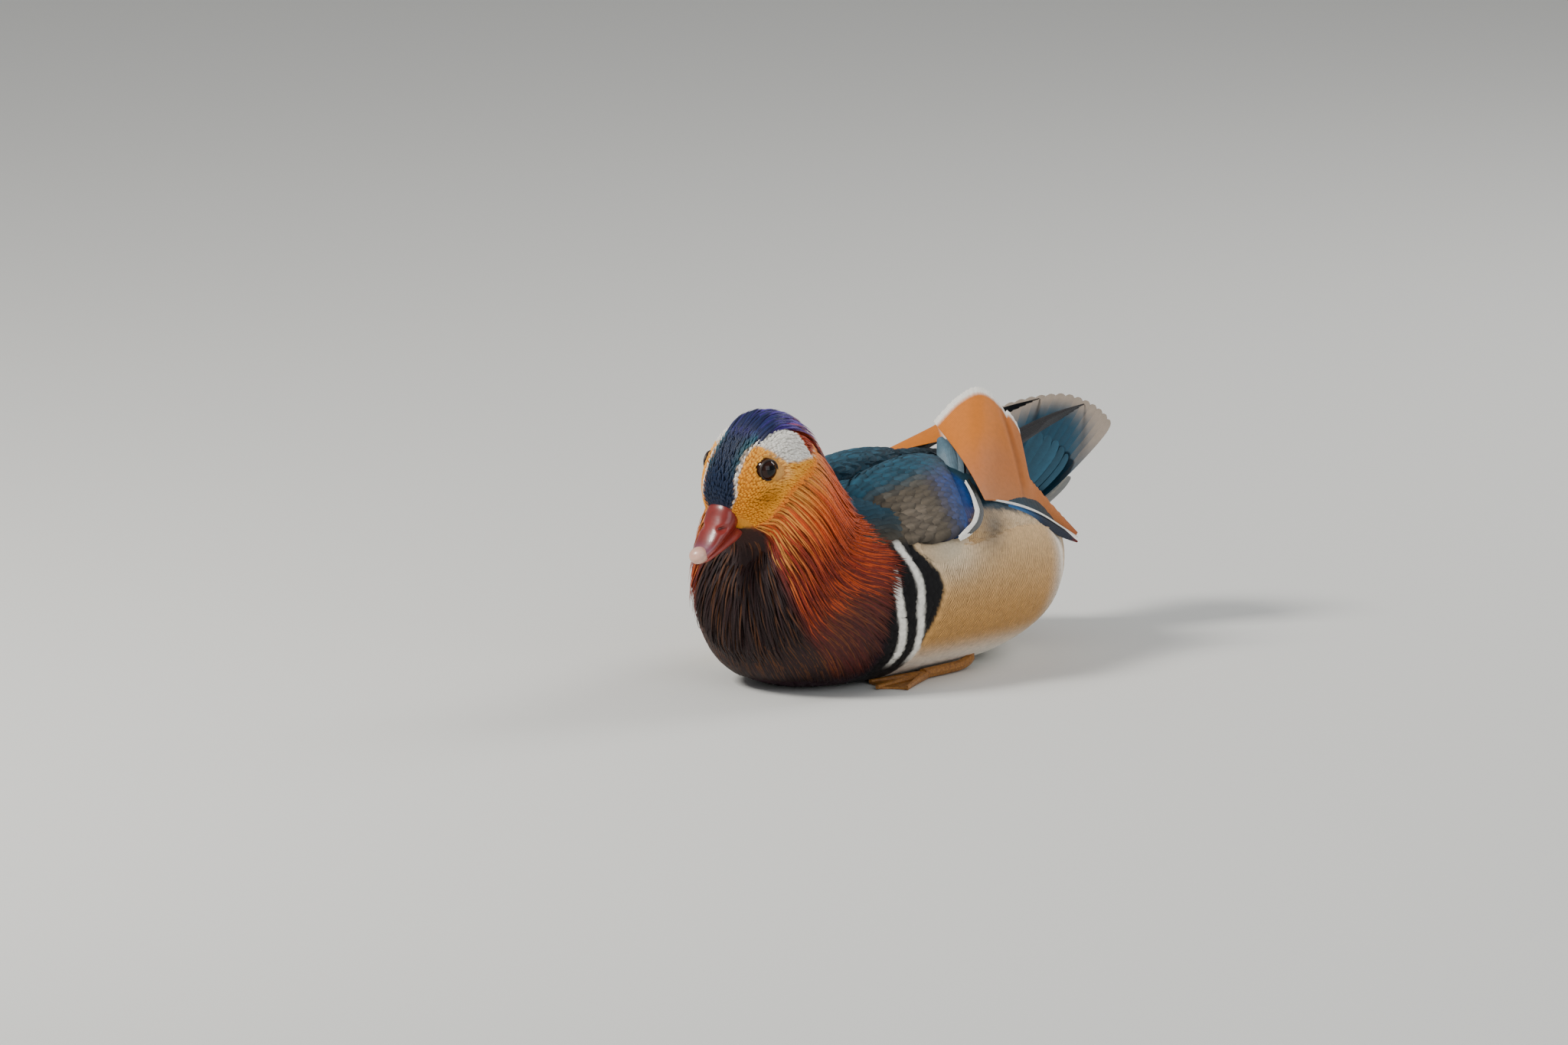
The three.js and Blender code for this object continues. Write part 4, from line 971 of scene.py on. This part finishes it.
def sail(label, shaft, margin, sign):
    nu, nh = 120, 56
    u, h = np.meshgrid(np.linspace(0, 1, nu), np.linspace(0, 1, nh), indexing="ij")
    low, high = spline(np.array(shaft, float), u * 0.985), spline(np.array(margin, float), u)
    high = high - (high - low) * (0.055 * np.exp(-((u - 0.46) / 0.013) ** 2))[..., None]
    # The vane splits a little into barbs at its margin, and creases where the tall front turns to the low rear.
    ragged = 0.8 * np.sin(u * 300 + 3 * np.sin(u * 40)) * step(h, 0.9, 1.0) * fall(u, 0.9, 1)
    crease = 1.6 * np.exp(-((u - 0.42 - 0.1 * (1 - h)) / 0.035) ** 2) * step(h, 0.05, 0.3)
    p = low + (high - low) * h[..., None]
    p = p + OUT * (7 * np.sin(np.pi * h) * (1 - u) - crease)[..., None] + np.array([0, 0, 1]) * ragged[..., None] * 0.5
    thick = (0.9 * (1 - h) + 0.3)[..., None] * OUT * 0.5
    verts = np.concatenate([(p + thick).reshape(-1, 3), (p - thick).reshape(-1, 3)]) * np.array([sign, 1, 1])
    face_ = grid(nu, nh, wrap=False)[:, [0, 3, 2, 1]]
    m = nu * nh
    rim = np.concatenate([np.arange(nu) * nh, (nu - 1) * nh + np.arange(1, nh), np.arange(nu - 2, -1, -1) * nh + nh - 1,
                          np.arange(nh - 2, 0, -1)])
    wall = np.stack([rim, rim + m, np.roll(rim, -1) + m, np.roll(rim, -1)], -1)
    quads = np.concatenate([face_, face_[:, ::-1] + m, wall])
    col = mix(lin("c2743c"), lin("cc7420"), step(0.46 - u, -0.04, 0.1) * step(h, 0.35, 0.7))
    col = mix(col, lin("b9784c"), step(h, 0.35, 0.0) * 0.6)
    col = mix(col, lin("a5552a"), step(u, 0.86, 1.0) * 0.8)
    # Painted shade: a darker brown along the crease.
    col = mix(col, lin("8c5a3a"), np.exp(-((u - 0.42 - 0.1 * (1 - h)) / 0.02) ** 2) * 0.35)
    col = mix(col, WHITE, step(h, 0.93, 0.965) * fall(u, 0.62, 0.75))
    dyes = rgba(col).reshape(-1, 4)
    uv = np.stack([np.full(u.shape, 0.5), u * 3.0 + h * 0.35], -1).reshape(-1, 2)
    ob = outward(build(f"sail_vane_{label}", verts, quads, None, np.concatenate([dyes, dyes]),
                       np.concatenate([uv, uv]),
                       np.concatenate([np.stack([u, h * 0.5], -1).reshape(-1, 2)] * 2)))
    fit_out(ob, QUILL, (f"sail_{label}",))
    # The narrow outer web below the shaft, blue to black, under a thin white line.
    flip = np.array([sign, 1, 1])
    shown = WEB + np.array([0, 0, -2.4])
    cols_ = paint(same(BLUE, 1), 24, edge=1.0, ridge=1.0, root=1.0, spread=0)
    run_ = np.linspace(0, 1, 24)
    body_ = mix(mix(lin("2f6ea8"), lin("0c1a30"), step(run_, 0.3, 0.65)), RUST * 0.8, step(run_, 0.9, 1))
    cols_[0, :, :, :3] = body_[:, None]
    quills(f"sail_web_{label}", (shown * flip)[None], np.array([[0.8, 2.0, 2.6, 3.0, 3.4, 0.6]]),
           np.broadcast_to(np.array([0.85, -0.3, 0.42]) * flip, (1, 3)), cols_, QUILL, thick=0.7)
    quills(f"sail_line_{label}", ((WEB + np.array([0.4, -0.3, 0.2])) * flip)[None],
           np.array([[0.4, 0.7, 0.8, 0.7, 0.5, 0.25]]), np.broadcast_to(np.array([0.8, 0, 0.5]) * flip, (1, 3)),
           paint(same(WHITE, 1), 24, edge=1, ridge=1, root=1, spread=0), SOFT, thick=0.5)


WEB = np.array([(54, 40, 91.8), (57, 54, 88.6), (58, 69, 84.2), (57.2, 87, 77.4), (52.5, 110, 67.4),
                (48.3, 132, 57.5)])
for label, sign in SIDES:
    sail(label, *SAILS[label], sign)

# Bill.
UPPER_BILL = np.array([
    (-4.6, .2, -1.4, .6), (-4, 1.6, -2.8, 2.8), (-1.5, 2.8, -3, 4.9), (3, 3.5, -2.2, 6.4), (8, 5, -1.8, 7.6),
    (13, 7.6, -1.6, 8.3), (19, 11.6, -1.4, 9), (24, 15, -1, 9.5), (29, 15.5, 0, 8.5), (34, 11, 3, 5)])
LOWER_BILL = np.array([
    (-2, -2.6, -4, 1.5), (1, -1.5, -4.8, 4.6), (8, -.8, -5.4, 6.4), (16, -.4, -6.2, 7.6), (24, 0, -7.2, 8),
    (34, 0, -6.5, 5)])


def closed(name, p, col):
    """A closed piece from rings of points and their colours."""
    verts, quads, tris = tube(p)
    return outward(build(name, verts, quads, tris, rgba(capped(col))))


def bill_piece(name, rings, steps, sides, paint_with, dent=None):
    """A half of the bill from rings given as the place back along it, the top, the bottom and the half width."""
    row = spline(rings, np.linspace(0, 1, steps))
    rise, out = oval(np.linspace(-np.pi, np.pi, sides, endpoint=False), 2.2)
    mid, half = (row[:, 1] + row[:, 2]) / 2, np.abs(row[:, 1] - row[:, 2]) / 2
    up, side = mid[:, None] + rise * half[:, None], out * np.abs(row[:, 3])[:, None]
    back = np.repeat(row[:, :1], sides, 1)
    if dent:
        side = dent(back, up, side)
    return closed(name, on_head(back, up, side), paint_with(back, up, side))


def nostrils(back, up, side):
    near = np.exp(-(((back - 15.5) / 2.3) ** 2 + ((up - 6.6) / 1.3) ** 2)) * (np.abs(side) > 3)
    rim = np.exp(-(((back - 15.5) / 3.6) ** 2 + ((up - 6.6) / 2.4) ** 2)) * (np.abs(side) > 3)
    groove = np.exp(-((up - 0.6) / 0.35) ** 2) * step(back, 0, 4) * 0.25
    return side - np.sign(side) * (near * 2.6 - (rim - near) * 0.9 + groove)


def upper_paint(back, up, side):
    col = np.broadcast_to(lin("7a221d"), back.shape + (3,)).copy()
    col = mix(col, lin("7d5468"), fall(back, 1, 8) * 0.7)
    col = mix(col, lin("9c2a20"), np.exp(-(((back - 15.5) / 3.2) ** 2 + ((up - 6.6) / 2.2) ** 2)) * 0.8)
    # Painted shade: the nostril's hollow is painted near-black.
    col = mix(col, lin("3a0d0c"), np.exp(-(((back - 15.5) / 1.7) ** 2 + ((up - 6.6) / 0.9) ** 2)))
    col = mix(col, lin("c4523a"), fall(up, -0.5, 2.0) * 0.6)
    return col


def lower_paint(back, up, side):
    return np.broadcast_to(lin("93382f"), back.shape + (3,)).copy()


HORN = grained("bill_horn", 260.0, 5.0, 0.2, 0.0004, (0.72, 1.3), Roughness=0.34, Coat_Weight=0.3,
               Coat_Roughness=0.12, Subsurface_Weight=0.08, Subsurface_Scale=0.002)
fit_out(bill_piece("bill_top", UPPER_BILL, 90, 72, upper_paint, nostrils), HORN, ("bill_upper",), "bill_upper")
fit_out(bill_piece("bill_bottom", LOWER_BILL, 50, 48, lower_paint), HORN, ("bill_lower",), "bill_lower")


def ball(name, centre, radii, axes, sides, steps, near, far, lo, hi):
    """An ellipsoid as rings round its first axis, coloured from near to far between two angles from that axis."""
    v = np.linspace(0.02, math.pi - 0.02, steps)[:, None]
    w = np.linspace(0, 2 * np.pi, sides, endpoint=False)[None, :]
    v, w = np.broadcast_arrays(v, w)
    local = np.stack([np.cos(v), np.sin(v) * np.cos(w), np.sin(v) * np.sin(w)], -1) * np.array(radii)
    return closed(name, centre + local @ np.array(axes), mix(lin(near), lin(far), step(v, lo, hi)))


ahead = unit(on_head(-10, 0, 0) - on_head(0, 0, 0))
above = unit(on_head(0, 10, 0) - on_head(0, 0, 0))
across = np.cross(ahead, above)
nail = ball("bill_nail", on_head(-0.6, 0.4, 0), (5.2, 4.3, 5.4), (ahead, above, across), 48, 32,
            "d8ab98", "c08074", 1.5, 2.6)
fit_out(nail, HORN, slot="bill_upper")


# Eyes.
def eye_material():
    """A wet eye: near-black pupil and deep brown iris under a clear cornea."""
    m = material("eye_cornea")
    return surface(m, Base_Color=own_colour(m), Roughness=0.05, IOR=1.36)


WET = eye_material()
LID = grained("lid_skin", 1200.0, 3.0, 0.4, 0.0002, Base_Color=(*lin("2a1b15"), 1.0), Roughness=0.45)
for label, sign in SIDES:
    centre = on_head(EYE["back"], EYE["up"], sign * EYE["side"])
    outward_ = unit(on_head(47.5, 23.4, sign * (EYE["side"] + 12)) - centre)
    tilt_ = unit(np.cross(outward_, np.array([0, 0, 1.0])))
    axes = (outward_, tilt_, np.cross(outward_, tilt_))
    eye = ball(f"eyeball_{label}", centre, (EYE["radius"],) * 3, axes, 64, 48,
               "050304", "2a130b", 0.42, 0.5)
    fit_out(eye, WET, (f"eye_{label}",))
    w = np.linspace(0, 2 * np.pi, 64, endpoint=False)[:, None]
    q = np.linspace(0, 2 * np.pi, 14, endpoint=False)[None, :]
    ring_r = 5.55 + 0.62 * np.cos(q)
    p = (centre + outward_ * (3.3 + 0.9 * np.sin(q))[..., None] + axes[1] * (ring_r * np.cos(w))[..., None]
         + axes[2] * (ring_r * np.sin(w) * 0.96)[..., None])
    fit_out(outward(build(f"lid_{label}", p.reshape(-1, 3), grid(64, 14, ring=True))), LID)


# Legs and feet.
def scaly():
    """Legs and webs: leathery orange-brown skin in small scales."""
    m = material("leg_skin")
    cells = node(m, "ShaderNodeTexVoronoi", "Distance", Vector=object_place(m), Scale=700.0)
    shade = node(m, "ShaderNodeValToRGB", Fac=cells)
    for stop, tone in zip(shade.node.color_ramp.elements, ("b57a35", "7d4f22")):
        stop.color = (*lin(tone), 1)
    bump = node(m, "ShaderNodeBump", Strength=0.4, Distance=0.0004, Height=cells)
    return surface(m, Base_Color=shade, Roughness=0.5, Normal=bump)


LEATHER = scaly()
for label in ("left", "right"):
    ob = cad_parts[f"foot_{label}"]
    ob.data.materials.clear()
    ob.data.materials.append(LEATHER)

# Floor, light and camera.
LENS, DISTANCE = 343.0, 8.0
AZ, EL = math.radians(37), math.radians(10)
right = Vector((math.cos(AZ), math.sin(AZ), 0))
view = Vector((math.sin(AZ) * math.cos(EL), -math.cos(AZ) * math.cos(EL), math.sin(EL)))
up = view.cross(right)
target = right * -0.0402 + up * 0.0778
camera = bpy.data.objects.new("camera", bpy.data.cameras.new("camera"))
bpy.context.scene.collection.objects.link(camera)
camera.data.lens, camera.data.sensor_width = LENS, 36.0
camera.data.clip_end = 50
camera.location = target + view * DISTANCE
camera.rotation_euler = view.to_track_quat("Z", "Y").to_euler()
bpy.context.scene.camera = camera

floor_mesh = bpy.data.meshes.new("floor")
reach = 6.0
floor_mesh.from_pydata([(-reach, -reach, 0), (reach, -reach, 0), (reach, reach, 0), (-reach, reach, 0)],
                       [], [(0, 1, 2, 3)])
floor = bpy.data.objects.new("floor", floor_mesh)
bpy.context.scene.collection.objects.link(floor)
paper = material("studio_floor")
surface(paper, Base_Color=(*lin("dcdcd8"), 1.0), Roughness=0.9)
floor_mesh.materials.append(paper)


def lamp(name, place, size, power, colour=(1, 1, 1)):
    light = bpy.data.lights.new(name, "AREA")
    light.shape, light.size, light.energy, light.color = "SQUARE", size, power, colour
    ob = bpy.data.objects.new(name, light)
    ob.location = place
    ob.rotation_euler = (Vector(place) - Vector((0, 0, 0.08))).to_track_quat("Z", "Y").to_euler()
    bpy.context.scene.collection.objects.link(ob)


lamp("key", (-0.9, -1.3, 1.7), 0.6, 52, (1.0, 0.97, 0.92))
lamp("fill", (1.9, -1.0, 0.9), 1.6, 16, (0.92, 0.96, 1.0))
lamp("rim", (0.5, 1.8, 1.3), 1.0, 22)
world = bpy.data.worlds.new("studio")
bpy.context.scene.world = world
world.use_nodes = True
world.node_tree.nodes["Background"].inputs[0].default_value = (0.93, 0.94, 0.96, 1)
world.node_tree.nodes["Background"].inputs[1].default_value = 0.36
